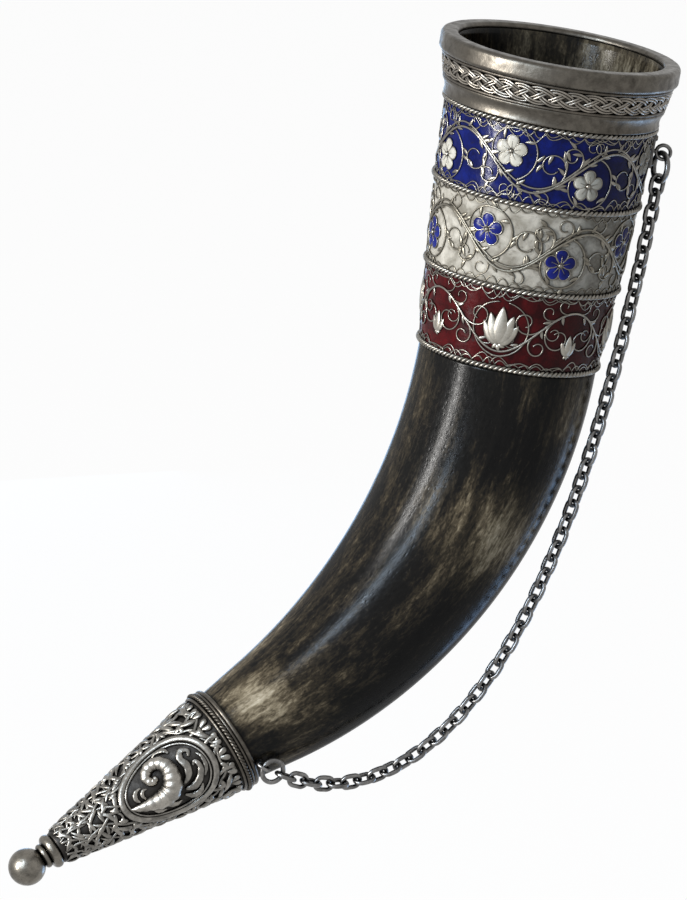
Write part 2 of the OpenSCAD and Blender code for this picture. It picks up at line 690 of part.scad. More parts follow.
// Turned end of the cap
neck_end = cap_end + neck_h;
ring_end = neck_end + neck_ring_h;
ball_seat_r = 3.2;
ball_at = ring_end + sqrt(pow(ball_d / 2, 2) - pow(ball_seat_r, 2));
module neck_collar() {
    round_r = neck_h / 2;
    color(silver) turned_cap(concat(
        [[stud_d / 2, cap_end]], arc([neck_r - round_r, cap_end + round_r], round_r, 90, -90),
        [[stud_d / 2, neck_end]]));
}
module neck_ring() {
    round_r = neck_ring_h / 2;
    color(silver) turned_cap(concat(
        [[stud_d / 2, neck_end]], arc([neck_ring_r - round_r, neck_end + round_r], round_r, 90, -90),
        [[stud_d / 2, ring_end]]));
}
stud_end = ball_at + ball_d / 4;
module finial_ball() {
    color(silver) difference() {
        at_station(ball_at) sphere(d = ball_d);
        turned_cap([[0, cap_end], [ball_d, cap_end], [ball_d, ring_end], [0, ring_end]]);
        turned_cap([[0, cap_end], [stud_d / 2, cap_end], [stud_d / 2, stud_end], [0, stud_end]]);
    }
}
module finial_stud() {
    top = cap_end - stud_grip;
    color(dark_silver) turned_cap([[0, top], [stud_d / 2, top], [stud_d / 2, stud_end], [0, stud_end]]);
}

horn_shell();
rim_lip();
rim_frieze();
rim_interlace();
rim_moulding();
band_sleeve();
border_rope(rim_wire);  // rim_rope
blue_enamel();
vine(rim_wire, blue_wire, blue_crest_angle);  // blue_vine
blue_band_flowers();
border_rope(blue_wire);  // blue_white_rope
white_enamel();
vine(blue_wire, white_wire, white_crest_angle);  // white_vine
white_band_flowers();
border_rope(white_wire);  // white_red_rope
red_enamel();
vine(white_wire, foot_wire, red_crest_angle);  // red_vine
red_band_palmettes();
border_rope(foot_wire);  // foot_rope
upper_eye();
upper_eye_rivets();
upper_ring();
lower_ring();
lower_eye();
for (i = [1:runs]) chain_links(i);
cap_collar();
cap_wire(cable_at, cable_d);  // cap_cable
cap_wire(fillet_at, fillet_d);  // cap_fillet
cap_shell();
cap_bedding();
medallion_frame();
medallion_beast();
neck_collar();
neck_ring();
finial_ball();
finial_stud();
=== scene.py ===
import bpy
import math
import numpy as np
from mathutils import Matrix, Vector


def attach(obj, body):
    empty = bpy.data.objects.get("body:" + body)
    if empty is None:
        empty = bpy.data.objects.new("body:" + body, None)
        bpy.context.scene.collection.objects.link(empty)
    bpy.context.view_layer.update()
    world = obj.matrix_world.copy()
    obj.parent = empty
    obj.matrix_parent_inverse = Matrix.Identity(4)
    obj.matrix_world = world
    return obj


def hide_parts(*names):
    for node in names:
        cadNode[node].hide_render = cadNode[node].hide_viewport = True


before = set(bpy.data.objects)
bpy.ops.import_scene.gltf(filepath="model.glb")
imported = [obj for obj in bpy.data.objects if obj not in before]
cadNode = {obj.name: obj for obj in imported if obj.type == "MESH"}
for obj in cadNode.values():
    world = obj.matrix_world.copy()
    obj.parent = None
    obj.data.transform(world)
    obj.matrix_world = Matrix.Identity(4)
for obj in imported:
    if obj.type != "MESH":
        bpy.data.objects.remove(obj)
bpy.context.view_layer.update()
print("frame loaded:", len(cadNode), "nodes")

mm = 0.001
deg = math.pi / 180
tau = 2 * math.pi
rng = np.random.default_rng(7)
scene = bpy.context.scene


def addObject(name, data):  # an object in the scene
    made = bpy.data.objects.new(name, data)
    scene.collection.objects.link(made)
    return made


# camera and light, in metres and degrees
shot = {"aim": (-0.03375, 0.0, 0.04896), "azimuth": -25.0, "elevation": 18.0, "distance": 2.5,
        "lens": 264.0, "sensor": 36.0, "farClip": 50.0}


def lookBasis(azimuth, elevation):  # right, up and towards the camera, for a camera that circles the aim
    a, e = azimuth * deg, elevation * deg
    back = Vector((math.sin(a) * math.cos(e), -math.cos(a) * math.cos(e), math.sin(e)))
    right = Vector((0, 0, 1)).cross(back).normalized()
    return right, back.cross(right), back


camRight, camUp, camBack = lookBasis(shot["azimuth"], shot["elevation"])
aimPoint = Vector(shot["aim"])
camData = bpy.data.cameras.new("photoCamera")
camData.lens = shot["lens"]
camData.sensor_width = shot["sensor"]
camData.clip_end = shot["farClip"]
cam = addObject("photoCamera", camData)
cam.location = aimPoint + camBack * shot["distance"]
cam.rotation_euler = camBack.to_track_quat("Z", "Y").to_euler()
scene.camera = cam
scene.view_settings.view_transform = "Standard"

lamps = {  # right, up and back from the aim, width and height, power, colour
    "sideStrip": ((-1.23, 0.12, 0.78), (0.055, 0.8), 40, (1.0, 0.98, 0.95)),
    "lowStrip": ((-0.75, 0.36, 1.2), (0.03, 0.9), 25, (0.7, 0.84, 1.0)),
    "leftEdgeLamp": ((-0.25, 0.06, -1.45), (0.3, 1.2), 3.4, (0.3, 0.6, 1.0)),
    "rightEdgeLamp": ((0.39, -0.3, -0.39), (0.18, 0.36), 1.4, (0.35, 0.6, 1.0)),
}
for name, (place, size, power, tint) in lamps.items():
    lampData = bpy.data.lights.new(name, "AREA")
    lampData.shape = "RECTANGLE"
    lampData.size, lampData.size_y = size
    lampData.energy = power
    lampData.color = tint
    lamp = addObject(name, lampData)
    lamp.location = aimPoint + camRight * place[0] + camUp * place[1] + camBack * place[2]
    lamp.rotation_euler = (lamp.location - aimPoint).to_track_quat("Z", "Y").to_euler()
    lamp.visible_camera = False


# node helpers
def plug(tree, node, sockets):  # links sockets, and sets plain values
    for key, value in sockets.items():
        if isinstance(value, bpy.types.NodeSocket):
            tree.links.new(value, node.inputs[key])
        else:
            node.inputs[key].default_value = value


def addNode(tree, kind, sockets, **settings):
    made = tree.nodes.new(kind)
    for key, value in settings.items():
        setattr(made, key, value)
    plug(tree, made, sockets)
    return made


def mathNode(tree, how, a, b):
    return addNode(tree, "ShaderNodeMath", {0: a, 1: b}, operation=how).outputs[0]


def mixColour(tree, fac, a, b):
    return addNode(tree, "ShaderNodeMix", {0: fac, 6: a, 7: b}, data_type="RGBA").outputs[2]


def rampNode(tree, fac, stops):
    made = addNode(tree, "ShaderNodeValToRGB", {0: fac})
    ramp = made.color_ramp
    while len(ramp.elements) < len(stops):
        ramp.elements.new(0.5)
    for element, (at, colour) in zip(ramp.elements, stops):
        element.position = at
        element.color = (*colour, 1)
    return made.outputs[0]


def noiseNode(tree, vector, scale, detail, rough=0.55, warp=0.0):
    sockets = {"Vector": vector, "Scale": scale, "Detail": detail, "Roughness": rough, "Distortion": warp}
    return addNode(tree, "ShaderNodeTexNoise", sockets).outputs[0]


def spread(tree, value, lowIn, highIn, lowOut, highOut):
    sockets = {0: value, 1: lowIn, 2: highIn, 3: lowOut, 4: highOut}
    return addNode(tree, "ShaderNodeMapRange", sockets).outputs[0]


def bumpNode(tree, height, strength, distance, under=None):  # a bump, over another one where given
    sockets = {"Strength": strength, "Distance": distance, "Height": height}
    if under is not None:
        sockets["Normal"] = under
    return addNode(tree, "ShaderNodeBump", sockets).outputs[0]


def startMaterial(name):
    made = bpy.data.materials.new(name)
    made.use_nodes = True
    return made, made.node_tree, made.node_tree.nodes["Principled BSDF"]


def objectCoords(tree):
    return addNode(tree, "ShaderNodeTexCoord", {}).outputs["Object"]


def crevice(tree, reach):  # 1 in the open, 0 in hollows narrower than reach metres
    return addNode(tree, "ShaderNodeAmbientOcclusion", {"Distance": reach}, samples=6).outputs["AO"]


def glossFall(tree, middle, edge):  # gloss that sinks where the surface turns away
    facing = addNode(tree, "ShaderNodeLayerWeight", {"Blend": 0.5}).outputs["Facing"]
    return spread(tree, facing, 0.3, 0.75, middle, edge)


def seenDirectly(tree):  # 1 for camera, glossy and transmission rays
    rays = addNode(tree, "ShaderNodeLightPath", {}).outputs
    seen = mathNode(tree, "MAXIMUM", rays["Is Camera Ray"], rays["Is Glossy Ray"])
    return mathNode(tree, "MAXIMUM", seen, rays["Is Transmission Ray"])


# world: white to the eye and to reflections, a low level of light to everything else
studio = {"light": 0.17, "white": 1.0, "floorHeight": -0.42, "floorHalf": 12.0, "floorGlow": 0.96}
world = bpy.data.worlds.new("studio")
scene.world = world
world.use_nodes = True
sky = world.node_tree
sky.nodes.clear()
level = spread(sky, seenDirectly(sky), 0, 1, studio["light"], studio["white"])
skyShader = addNode(sky, "ShaderNodeBackground", {"Color": (1, 1, 1, 1), "Strength": level})
addNode(sky, "ShaderNodeOutputWorld", {"Surface": skyShader.outputs[0]})

# pale floor well below the hanging horn
floorMesh = bpy.data.meshes.new("floor")
h, z = studio["floorHalf"], studio["floorHeight"]
floorMesh.from_pydata([(-h, -h, z), (h, -h, z), (h, h, z), (-h, h, z)], [], [(0, 1, 2, 3)])
floor = addObject("floor", floorMesh)
floorPaint, tree, shader = startMaterial("floorPaint")
plug(tree, shader, {"Base Color": (0.9, 0.9, 0.9, 1), "Roughness": 0.9})
glow = addNode(tree, "ShaderNodeEmission", {"Color": (1, 1, 1, 1), "Strength": 1.0})
share = mathNode(tree, "MULTIPLY", seenDirectly(tree), studio["floorGlow"])
both = addNode(tree, "ShaderNodeMixShader", {0: share, 1: shader.outputs[0], 2: glow.outputs[0]})
plug(tree, tree.nodes["Material Output"], {"Surface": both.outputs[0]})
floorMesh.materials.append(floorPaint)
print("camera, light and floor set")

# the horn's centreline, in millimetres: straight under the bands, an arc, then straight along the cap
hornLine = {"mouthLean": 10.4, "bendRadius": 177.7, "bendAngle": 54.4, "foot": 120.25, "tail": 23.5,
            "grip": 207.0}
foot = hornLine["foot"]
bendLength = hornLine["bendRadius"] * hornLine["bendAngle"] * deg
capMouth = foot + bendLength + hornLine["tail"]


def leanAt(s):  # lean grows evenly over the bend
    share = np.clip((np.asarray(s, float) - foot) / bendLength, 0, 1)
    return deg * (hornLine["mouthLean"] + hornLine["bendAngle"] * share)


def backAt(s):  # across the horn, towards its convex back
    lean = leanAt(s)
    return np.stack([np.cos(lean), 0 * lean, -np.sin(lean)], -1)


def alongAt(s):  # along the horn, towards its tip
    lean = leanAt(s)
    return np.stack([-np.sin(lean), 0 * lean, -np.cos(lean)], -1)


def rawCentre(s):  # straight length, plus the chord of the arc, plus the straight tail
    s = np.asarray(s, float)
    straight = np.minimum(s, foot)[..., None] * alongAt(0 * s)
    arc = hornLine["bendRadius"] * (backAt(s) - backAt(0 * s))
    tail = np.maximum(0, s - foot - bendLength)[..., None] * alongAt(s)
    return straight + arc + tail


gripPoint = rawCentre(hornLine["grip"])


def outwardAt(s, bearing):  # bearing in radians, from the convex back towards -Y
    s, bearing = np.broadcast_arrays(np.asarray(s, float), np.asarray(bearing, float))
    side = np.array([0.0, 1.0, 0.0])
    return np.cos(bearing)[..., None] * backAt(s) - np.sin(bearing)[..., None] * side


def onHorn(s, bearing, r):  # centreline point plus r times the outward direction
    s, bearing, r = [np.asarray(v, float) for v in np.broadcast_arrays(s, bearing, r)]
    return rawCentre(s) - gripPoint + r[..., None] * outwardAt(s, bearing)


def rimFrame(s, bearing, r):  # the same, kept to the straight length at the mouth
    return onHorn(np.minimum(s, foot), bearing, r)


# radii in millimetres: face of the bands at the mouth, at the four border wires and past the foot
ropeStations = {"rim_rope": 24.95, "blue_white_rope": 54.95, "white_red_rope": 87.95, "foot_rope": 118.95}
wireAt = list(ropeStations.values())
bandFace = {"at": [0, *wireAt, 149.95], "radii": [44.15, 40.3, 39.3, 37.0, 34.5, 32.0]}
under = {"enamel": 0.95, "sleeve": 1.8, "horn": 1.95, "hollow": 4.75}  # depths below that face
hornShape = {"around": 240, "outSteps": 170, "ridge": 0.004, "tip": 40.0, "tipSink": 1.3, "footRadius": 34.2,
             "midRadius": 30.3, "edge": 2.2, "hollowEnd": 285.0}
capTop = {"horn": 18.6, "cap": 19.9, "tip": 6.4, "length": 76.0, "wall": 1.15}


def bandRadius(s):  # straight between the four border wires
    return np.interp(s, bandFace["at"], bandFace["radii"])


def seatLine(s):  # inside of what sits on the sleeve
    return bandRadius(s) - under["sleeve"]


def bareRadius(s):  # parabola through the foot, the middle and the cap
    t = (np.asarray(s, float) - foot) / (capMouth - foot)
    return ((1 - t) * (1 - 2 * t) * hornShape["footRadius"] + 4 * t * (1 - t) * hornShape["midRadius"]
            + t * (2 * t - 1) * capTop["horn"])


def hollowRadius(s):  # parallel to the seat under the bands, then a quarter ellipse
    s = np.asarray(s, float)
    t = (s - foot) / (hornShape["hollowEnd"] - foot)
    low = (bandRadius(foot) - under["hollow"]) * np.sqrt(np.clip(1 - t ** 2, 0, 1))
    return np.where(s <= foot, bandRadius(s) - under["hollow"], low)


def capRadius(s):  # straight taper
    slope = (capTop["cap"] - capTop["tip"]) / capTop["length"]
    return capTop["cap"] - slope * (np.asarray(s, float) - capMouth)


# mesh helpers: arrays of points in millimetres, put into meshes whole
def turns(n):  # n even steps of one turn
    return np.arange(n) / n * tau


def gridFaces(nu, nv, closeU, closeV):
    iu = np.arange(nu if closeU else nu - 1)[:, None]
    iv = np.arange(nv if closeV else nv - 1)[None, :]
    ju, jv = (iu + 1) % nu, (iv + 1) % nv
    corners = np.broadcast_arrays(iu * nv + iv, iu * nv + jv, ju * nv + jv, ju * nv + iv)
    return np.stack(corners, -1).reshape(-1, 4)


def sixVolumes(points, faces):  # six times the volume within, below 0 where the faces point in
    a, b, c = points[faces[:, 0]], points[faces[:, 1]], points[faces[:, 2]]
    total = np.einsum("ij,ij->", a, np.cross(b, c))
    if faces.shape[1] == 4:
        total += np.einsum("ij,ij->", a, np.cross(c, points[faces[:, 3]]))
    return total


def ringSkin(rings, first, last):  # rings of points closed around, each end drawn to a point
    n, k = rings.shape[:2]
    points = np.vstack([rings.reshape(-1, 3), first, last])
    near, far = np.arange(k), (np.arange(k) + 1) % k
    base = (n - 1) * k
    return points, [gridFaces(n, k, False, True), np.stack([far, near, 0 * near + n * k], -1),
                    np.stack([base + near, base + far, 0 * near + n * k + 1], -1)]


def ripple(x, y, z, rate, seed):  # sum of a few slanted waves, from 0 to 1
    local = np.random.default_rng(seed)
    total = 0
    for _ in range(6):
        way = local.normal(size=3) * rate
        total = total + np.sin(way[0] * x + way[1] * y + way[2] * z + local.uniform(0, tau))
    return np.clip(0.5 + total / 8, 0, 1)


def turned(profile, around, frameOf, dents, seed):
    # closed outline of radius and station carried around the axis, with shallow dents pressed in
    outline = np.asarray(profile, float)
    bearing = turns(around)
    r, s = outline[:, 0][:, None] + 0 * bearing, outline[:, 1][:, None] + 0 * bearing
    r = r - dents * ripple(np.cos(bearing) * r, np.sin(bearing) * r, s, 0.16, seed)
    points = frameOf(s, bearing[None, :] + 0 * s, r)
    return points.reshape(-1, 3), [gridFaces(len(outline), around, True, True)]


def sweep(paths, ups, widths, heights, profile, closed=False):
    # a profile carried along many paths: across by width, out by height; open ends drawn to points
    paths = np.asarray(paths, float)
    m, n = paths.shape[:2]
    if closed:
        heading = np.roll(paths, -1, 1) - np.roll(paths, 1, 1)
    else:
        heading = np.gradient(paths, axis=1)
    heading /= np.linalg.norm(heading, axis=-1, keepdims=True) + 1e-12
    side = np.cross(heading, ups)
    side /= np.linalg.norm(side, axis=-1, keepdims=True) + 1e-12
    over = np.cross(side, heading)
    widths, heights = np.broadcast_to(widths, (m, n)), np.broadcast_to(heights, (m, n))
    k = len(profile)
    ring = (paths[:, :, None] + (widths[..., None] * profile[:, 0])[..., None] * side[:, :, None]
            + (heights[..., None] * profile[:, 1])[..., None] * over[:, :, None])
    points = ring.reshape(-1, 3)
    quads = gridFaces(n, k, closed, True)[:, ::-1]
    start = (np.arange(m) * n * k)[:, None]
    faces = [(quads[None] + start[..., None]).reshape(-1, 4)]
    if not closed:
        near, far = np.arange(k), (np.arange(k) + 1) % k
        tip = len(points) + np.arange(m)[:, None]
        points = np.vstack([points, paths[:, 0], paths[:, -1]])
        base = start + (n - 1) * k
        tipA = np.stack(np.broadcast_arrays(start + near, start + far, tip), -1)
        tipB = np.stack(np.broadcast_arrays(base + far, base + near, tip + m), -1)
        faces += [tipA.reshape(-1, 3), tipB.reshape(-1, 3)]
    return points, faces


def roundProfile(k):
    return np.stack([np.cos(turns(k)), np.sin(turns(k))], -1)


def leafProfile(k=10, groove=0.45):  # rounded back with a groove along the midrib
    a = turns(k)
    lift = np.sin(a) * (1 - groove * np.exp(-(np.cos(a) / 0.3) ** 2) * (np.sin(a) > 0))
    return np.stack([np.cos(a), lift], -1)


def leafSwell(t, lean=0.8, least=0.06):  # width of a leaf along its rib: an arch that leans to the root
    return np.sin(math.pi * t ** lean) ** 0.8 + least


def dome(u):  # half circle over -1 to 1, kept off 0
    return np.sqrt(np.clip(1 - u ** 2, 0.0004, 1))


def domeSteps(n):  # -1 to 1, closer together at the ends
    return np.sin(np.linspace(-0.5, 0.5, n) * math.pi)


def arcLine(centre, r, start, end, n=9):  # points of an arc, in radius and station
    a = np.linspace(start, end, n) * deg
    return np.stack([centre[0] + r * np.cos(a), centre[1] - r * np.sin(a)], -1)


def build(name, parts, paint, stands=(), body="horn", values=None):
    # joins parts into one mesh at the origin, in metres, with each part's faces turned out
    allPoints, loops, sizes, start = [], [], [], 0
    for points, faces in parts:
        inside = sum(sixVolumes(points, f) for f in faces) < 0
        for f in faces:
            loops.append(((f[:, ::-1] if inside else f) + start).ravel())
            sizes.append(np.full(len(f), f.shape[1]))
        allPoints.append(points)
        start += len(points)
    points = np.vstack(allPoints) * mm
    loops, sizes = np.concatenate(loops).astype(np.int32), np.concatenate(sizes).astype(np.int32)
    starts = np.concatenate([[0], np.cumsum(sizes)[:-1]]).astype(np.int32)
    mesh = bpy.data.meshes.new(name)
    mesh.vertices.add(len(points))
    mesh.vertices.foreach_set("co", points.astype(np.float32).ravel())
    mesh.loops.add(len(loops))
    mesh.loops.foreach_set("vertex_index", loops)
    mesh.polygons.add(len(sizes))
    mesh.polygons.foreach_set("loop_start", starts)
    mesh.polygons.foreach_set("use_smooth", np.ones(len(sizes), bool))
    if values is not None:
        grain = mesh.attributes.new("grain", "FLOAT_VECTOR", "POINT")
        grain.data.foreach_set("vector", (np.asarray(values) * mm).astype(np.float32).ravel())
    mesh.update(calc_edges=True)
    mesh.validate()
    made = addObject(name, mesh)
    mesh.materials.append(paint)
    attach(made, body)
    if stands:
        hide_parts(*stands)


def lathe(name, node, outline, around, frameOf, dents, seed, finish):
    # a turned piece in place of one node
    build(name, [turned(outline, around, frameOf, dents, seed)], paint[finish], [node])


# finishes
def silverPaint(name, bright, dark, wear, reach, rough):
    # tarnish sits in hollows and in patches, open edges are rubbed bright
    made, tree, shader = startMaterial(name)
    place = objectCoords(tree)
    cloud = noiseNode(tree, place, 260, 6, 0.62, 0.4)
    speck = noiseNode(tree, place, 1900, 3, 0.6)
    openness = spread(tree, crevice(tree, reach), 0.35, 0.95, 0, 1)
    rub = mathNode(tree, "MULTIPLY", openness, spread(tree, cloud, 0.25, 0.62, wear, 1))
    rub = mathNode(tree, "MULTIPLY", rub, spread(tree, speck, 0.3, 0.6, 0.82, 1))
    hammered = bumpNode(tree, noiseNode(tree, place, 420, 2), 0.25, 0.0004)
    plug(tree, shader, {"Base Color": mixColour(tree, rub, (*dark, 1), (*bright, 1)), "Metallic": 1.0,
                        "Roughness": spread(tree, cloud, 0.3, 0.7, rough + 0.14, rough - 0.06),
                        "Normal": bumpNode(tree, speck, 0.12, 0.0002, hammered)})
    return made


def enamelPaint(name, deep, light, stainShadeColour, stainShadeShare, reach):
    # glassy colour, cloudy in depth, with stains in blots, and dirt and painted shade darkening it along the
    # wires
    made, tree, shader = startMaterial(name)
    place = objectCoords(tree)
    cloud = noiseNode(tree, place, 140, 5, 0.6, 0.6)
    blot = noiseNode(tree, place, 330, 6, 0.68, 1.2)
    base = mixColour(tree, spread(tree, cloud, 0.35, 0.68, 0, 1), (*deep, 1), (*light, 1))
    # painted shade plus dirt: the enamel is darkened next to the raised wires, where they shade it
    near = spread(tree, crevice(tree, reach), 0.45, 0.95, 1, 0)
    stainAndShade = mathNode(tree, "MAXIMUM", near, spread(tree, blot, 0.56, 0.74, 0, 1))
    stainAndShade = mathNode(tree, "MULTIPLY", stainAndShade, stainShadeShare)
    wavy = bumpNode(tree, noiseNode(tree, place, 170, 3), 0.3, 0.0006)
    plug(tree, shader, {"Base Color": mixColour(tree, stainAndShade, base, (*stainShadeColour, 1)), "IOR": 1.5,
                        "Roughness": spread(tree, blot, 0.3, 0.75, 0.1, 0.34),
                        "Specular IOR Level": glossFall(tree, 0.09, 0.012),
                        "Normal": bumpNode(tree, noiseNode(tree, place, 900, 3), 0.1, 0.0003, wavy)})
    return made


hornPatches = [  # paler or darker places, as soft balls: middle, reach in metres, gain in tone
    ((-0.0817, -0.0096, -0.0381), 0.02, 0.11), ((-0.0755, -0.0164, -0.040), 0.018, 0.07),
    ((0.0117, -0.0321, 0.0145), 0.036, 0.13), ((0.0205, -0.0305, 0.0165), 0.02, 0.08),
    ((0.0173, -0.0313, 0.0593), 0.034, -0.08), ((-0.028, -0.0251, -0.0404), 0.03, -0.07),
    ((0.0503, -0.0286, 0.0596), 0.028, 0.11), ((-0.0624, -0.0229, -0.0477), 0.02, 0.06),
    ((0.055, 0.0, 0.175), 0.075, 0.17), ((0.075, 0.02, 0.165), 0.03, 0.08), ((-0.05, 0.02, -0.03), 0.05, 0.1)]
hornTones = [(0.30, (0.002, 0.002, 0.002)), (0.49, (0.0045, 0.0042, 0.0038)), (0.57, (0.017, 0.0135, 0.009)),
             (0.64, (0.056, 0.044, 0.028)), (0.71, (0.145, 0.119, 0.08)), (0.82, (0.32, 0.28, 0.21))]


def hornPaint():
    # streaks that run along the grain attribute: black-brown, olive, gold and grey, with fine pits and flakes
    made, tree, shader = startMaterial("polishedHorn")
    grain = addNode(tree, "ShaderNodeAttribute", {}, attribute_name="grain").outputs["Vector"]
    place = objectCoords(tree)
    stretched = [{"Vector": grain, "Scale": (1, 1, squeeze)} for squeeze in (0.22, 0.17, 0.4)]
    broadAt, threadAt, flakeAt = [addNode(tree, "ShaderNodeMapping", at).outputs[0] for at in stretched]
    broad = noiseNode(tree, broadAt, 48, 6, 0.62, 0.8)
    thread = noiseNode(tree, threadAt, 360, 6, 0.68, 0.5)
    flakes = noiseNode(tree, flakeAt, 1000, 4, 0.6, 0.6)
    threadTone = mathNode(tree, "MULTIPLY", thread, 0.36)
    tone = mathNode(tree, "ADD", mathNode(tree, "MULTIPLY", broad, 0.64), threadTone)
    tone = mathNode(tree, "ADD", tone, spread(tree, flakes, 0.3, 0.7, -0.05, 0.05))
    for centre, size, gain in hornPatches:
        away = addNode(tree, "ShaderNodeVectorMath", {0: place, 1: centre}, operation="DISTANCE")
        tone = mathNode(tree, "ADD", tone, spread(tree, away.outputs["Value"], 0.15 * size, size, gain, 0))
    pits = addNode(tree, "ShaderNodeTexVoronoi", {"Vector": flakeAt, "Scale": 640.0}).outputs[0]
    grooves = bumpNode(tree, thread, 0.1, 0.0004)
    lumps = bumpNode(tree, flakes, 0.09, 0.0004, grooves)
    plug(tree, shader, {"Base Color": rampNode(tree, tone, hornTones), "IOR": 1.5,
                        "Roughness": spread(tree, flakes, 0.3, 0.7, 0.14, 0.29),
                        "Specular IOR Level": glossFall(tree, 0.07, 0.008),
                        "Normal": bumpNode(tree, spread(tree, pits, 0.05, 0.3, 0, 1), 0.1, 0.0003, lumps)})
    return made


silverLooks = {  # rubbed colour, tarnish, least wear, reach of the tarnish in metres, roughness
    "agedSilver": ((0.105, 0.095, 0.08), (0.018, 0.015, 0.012), 0.25, 0.003, 0.36),
    "ballSilver": ((0.19, 0.175, 0.15), (0.02, 0.018, 0.015), 0.2, 0.003, 0.27),
    "friezeSilver": ((0.105, 0.092, 0.076), (0.012, 0.0105, 0.009), 0.35, 0.003, 0.4),
    "knotSilver": ((0.27, 0.245, 0.21), (0.03, 0.026, 0.022), 0.4, 0.0012, 0.32),
    "vineSilver": ((0.2, 0.184, 0.15), (0.03, 0.026, 0.02), 0.4, 0.0012, 0.34),
    "wireSilver": ((0.235, 0.219, 0.19), (0.03, 0.027, 0.023), 0.35, 0.0012, 0.3),
    "paleSilver": ((0.34, 0.321, 0.28), (0.05, 0.044, 0.036), 0.45, 0.0016, 0.38),
    "darkSilver": ((0.075, 0.07, 0.063), (0.006, 0.0055, 0.005), 0.35, 0.003, 0.42),
    "capSilver": ((0.27, 0.256, 0.23), (0.008, 0.007, 0.006), 0.25, 0.003, 0.34),
    "capGround": ((0.04, 0.037, 0.034), (0.004, 0.0035, 0.003), 0.35, 0.003, 0.42),
    "beastSilver": ((0.33, 0.31, 0.275), (0.02, 0.018, 0.016), 0.35, 0.0022, 0.34),
    "chainSteel": ((0.21, 0.205, 0.2), (0.012, 0.012, 0.012), 0.3, 0.003, 0.3)}
glassLooks = {  # deep colour, light colour, colour of stain and painted shade, share of it, reach of the painted shade along the wires in metres
    "blueGlass": ((0.0007, 0.0018, 0.024), (0.0022, 0.0058, 0.068), (0.002, 0.002, 0.008), 0.75, 0.0016),
    "whiteGlass": ((0.128, 0.116, 0.094), (0.315, 0.293, 0.252), (0.065, 0.054, 0.04), 0.9, 0.005),
    "redGlass": ((0.011, 0.0005, 0.0008), (0.042, 0.0016, 0.0023), (0.004, 0.001, 0.001), 0.75, 0.0016),
    "ivoryGlass": ((0.225, 0.209, 0.174), (0.335, 0.317, 0.274), (0.10, 0.085, 0.06), 0.6, 0.0012),
    "indigoGlass": ((0.0025, 0.004, 0.045), (0.007, 0.012, 0.12), (0.003, 0.003, 0.008), 0.7, 0.001),
    "pitchFill": ((0.004, 0.0035, 0.003), (0.014, 0.012, 0.010), (0.002, 0.002, 0.002), 0.5, 0.002)}
paint = {name: silverPaint(name, *look) for name, look in silverLooks.items()}
paint.update({name: enamelPaint(name, *look) for name, look in glassLooks.items()})
paint["polishedHorn"] = hornPaint()
print("finishes made")


# the horn itself: outside, edge under the lip and hollow as one closed skin
def hornSkin():
    # rings from the tip up the outside, over the rim's seat and down the hollow; low ridges run lengthwise
    bearing = turns(hornShape["around"])
    edge, deep = hornShape["edge"], hornShape["hollowEnd"]
    tipStation = capMouth + hornShape["tip"]
    outS = np.linspace(capMouth, foot, hornShape["outSteps"])
    seatS = np.array([foot, *wireAt[::-1], edge])
    inS = np.concatenate([np.linspace(edge, foot, 60)[:-1],
                          foot + (deep - foot) * np.sin(np.linspace(0, 0.49 * math.pi, 50))])
    s = np.concatenate([[tipStation], outS, seatS, inS])
    r = np.concatenate([[float(capRadius(tipStation)) - hornShape["tipSink"]], bareRadius(outS),
                        bandRadius(seatS) - under["horn"], hollowRadius(inS)])
    bare = np.clip((outS - foot) / 3, 0, 1) * np.clip((capMouth - 3 - outS) / 3, 0, 1)
    bare = np.concatenate([[0], bare, 0 * seatS, 0 * inS])
    ridges = (np.sin(23 * bearing + 0.012 * s[:, None] + 1) + 0.7 * np.sin(41 * bearing - 0.02 * s[:, None])
              + 0.8 * np.sin(9 * bearing + 0.03 * s[:, None]))
    radius = r[:, None] + hornShape["ridge"] * bare[:, None] * (ridges - 1.5)
    rings = onHorn(s[:, None], bearing[None, :], radius)
    grain = np.broadcast_arrays(radius * np.cos(bearing), radius * np.sin(bearing), s[:, None])
    grain = np.vstack([np.stack(grain, -1).reshape(-1, 3), [[0, 0, tipStation], [0, 0, deep]]])
    return ringSkin(rings, onHorn(tipStation, 0, 0), onHorn(deep, 0, 0)), grain


skin, grainValues = hornSkin()
build("hornBody", [skin], paint["polishedHorn"], ["horn_shell"], values=grainValues)
print("horn built")

# rim: turned lip, knotwork frieze and hollow moulding, as outlines of radius and station
rimShape = {"around": 260, "dents": 0.16, "outer": 46.0, "inner": 39.4, "lip": 7.6, "round": 1.8,
            "mouthRound": 1.5, "skirt": [[43.17, 7.6], [43.97, 2.2], [39.4, 2.2]], "end": 23.8,
            "radii": (44.7, 41.45)}
outer, inner, big, small = [rimShape[key] for key in ("outer", "inner", "round", "mouthRound")]
lipLine = np.vstack([
    arcLine((inner + small, small), small, 180, 90, 8), [[inner + 2.6, 0.0], [outer - 2.8, 0.0]],
    arcLine((outer - big, big), big, 90, 0), [[outer, 3.0], [outer, 4.6]],
    arcLine((outer - big, rimShape["lip"] - big), big, 0, -90), rimShape["skirt"]])
lathe("rimLip", "rim_lip", lipLine, rimShape["around"], rimFrame, rimShape["dents"], 3, "agedSilver")


def rimLine(s):  # slope of the rim from the lip to the first wire
    return np.interp(s, [rimShape["lip"], rimShape["end"]], rimShape["radii"])


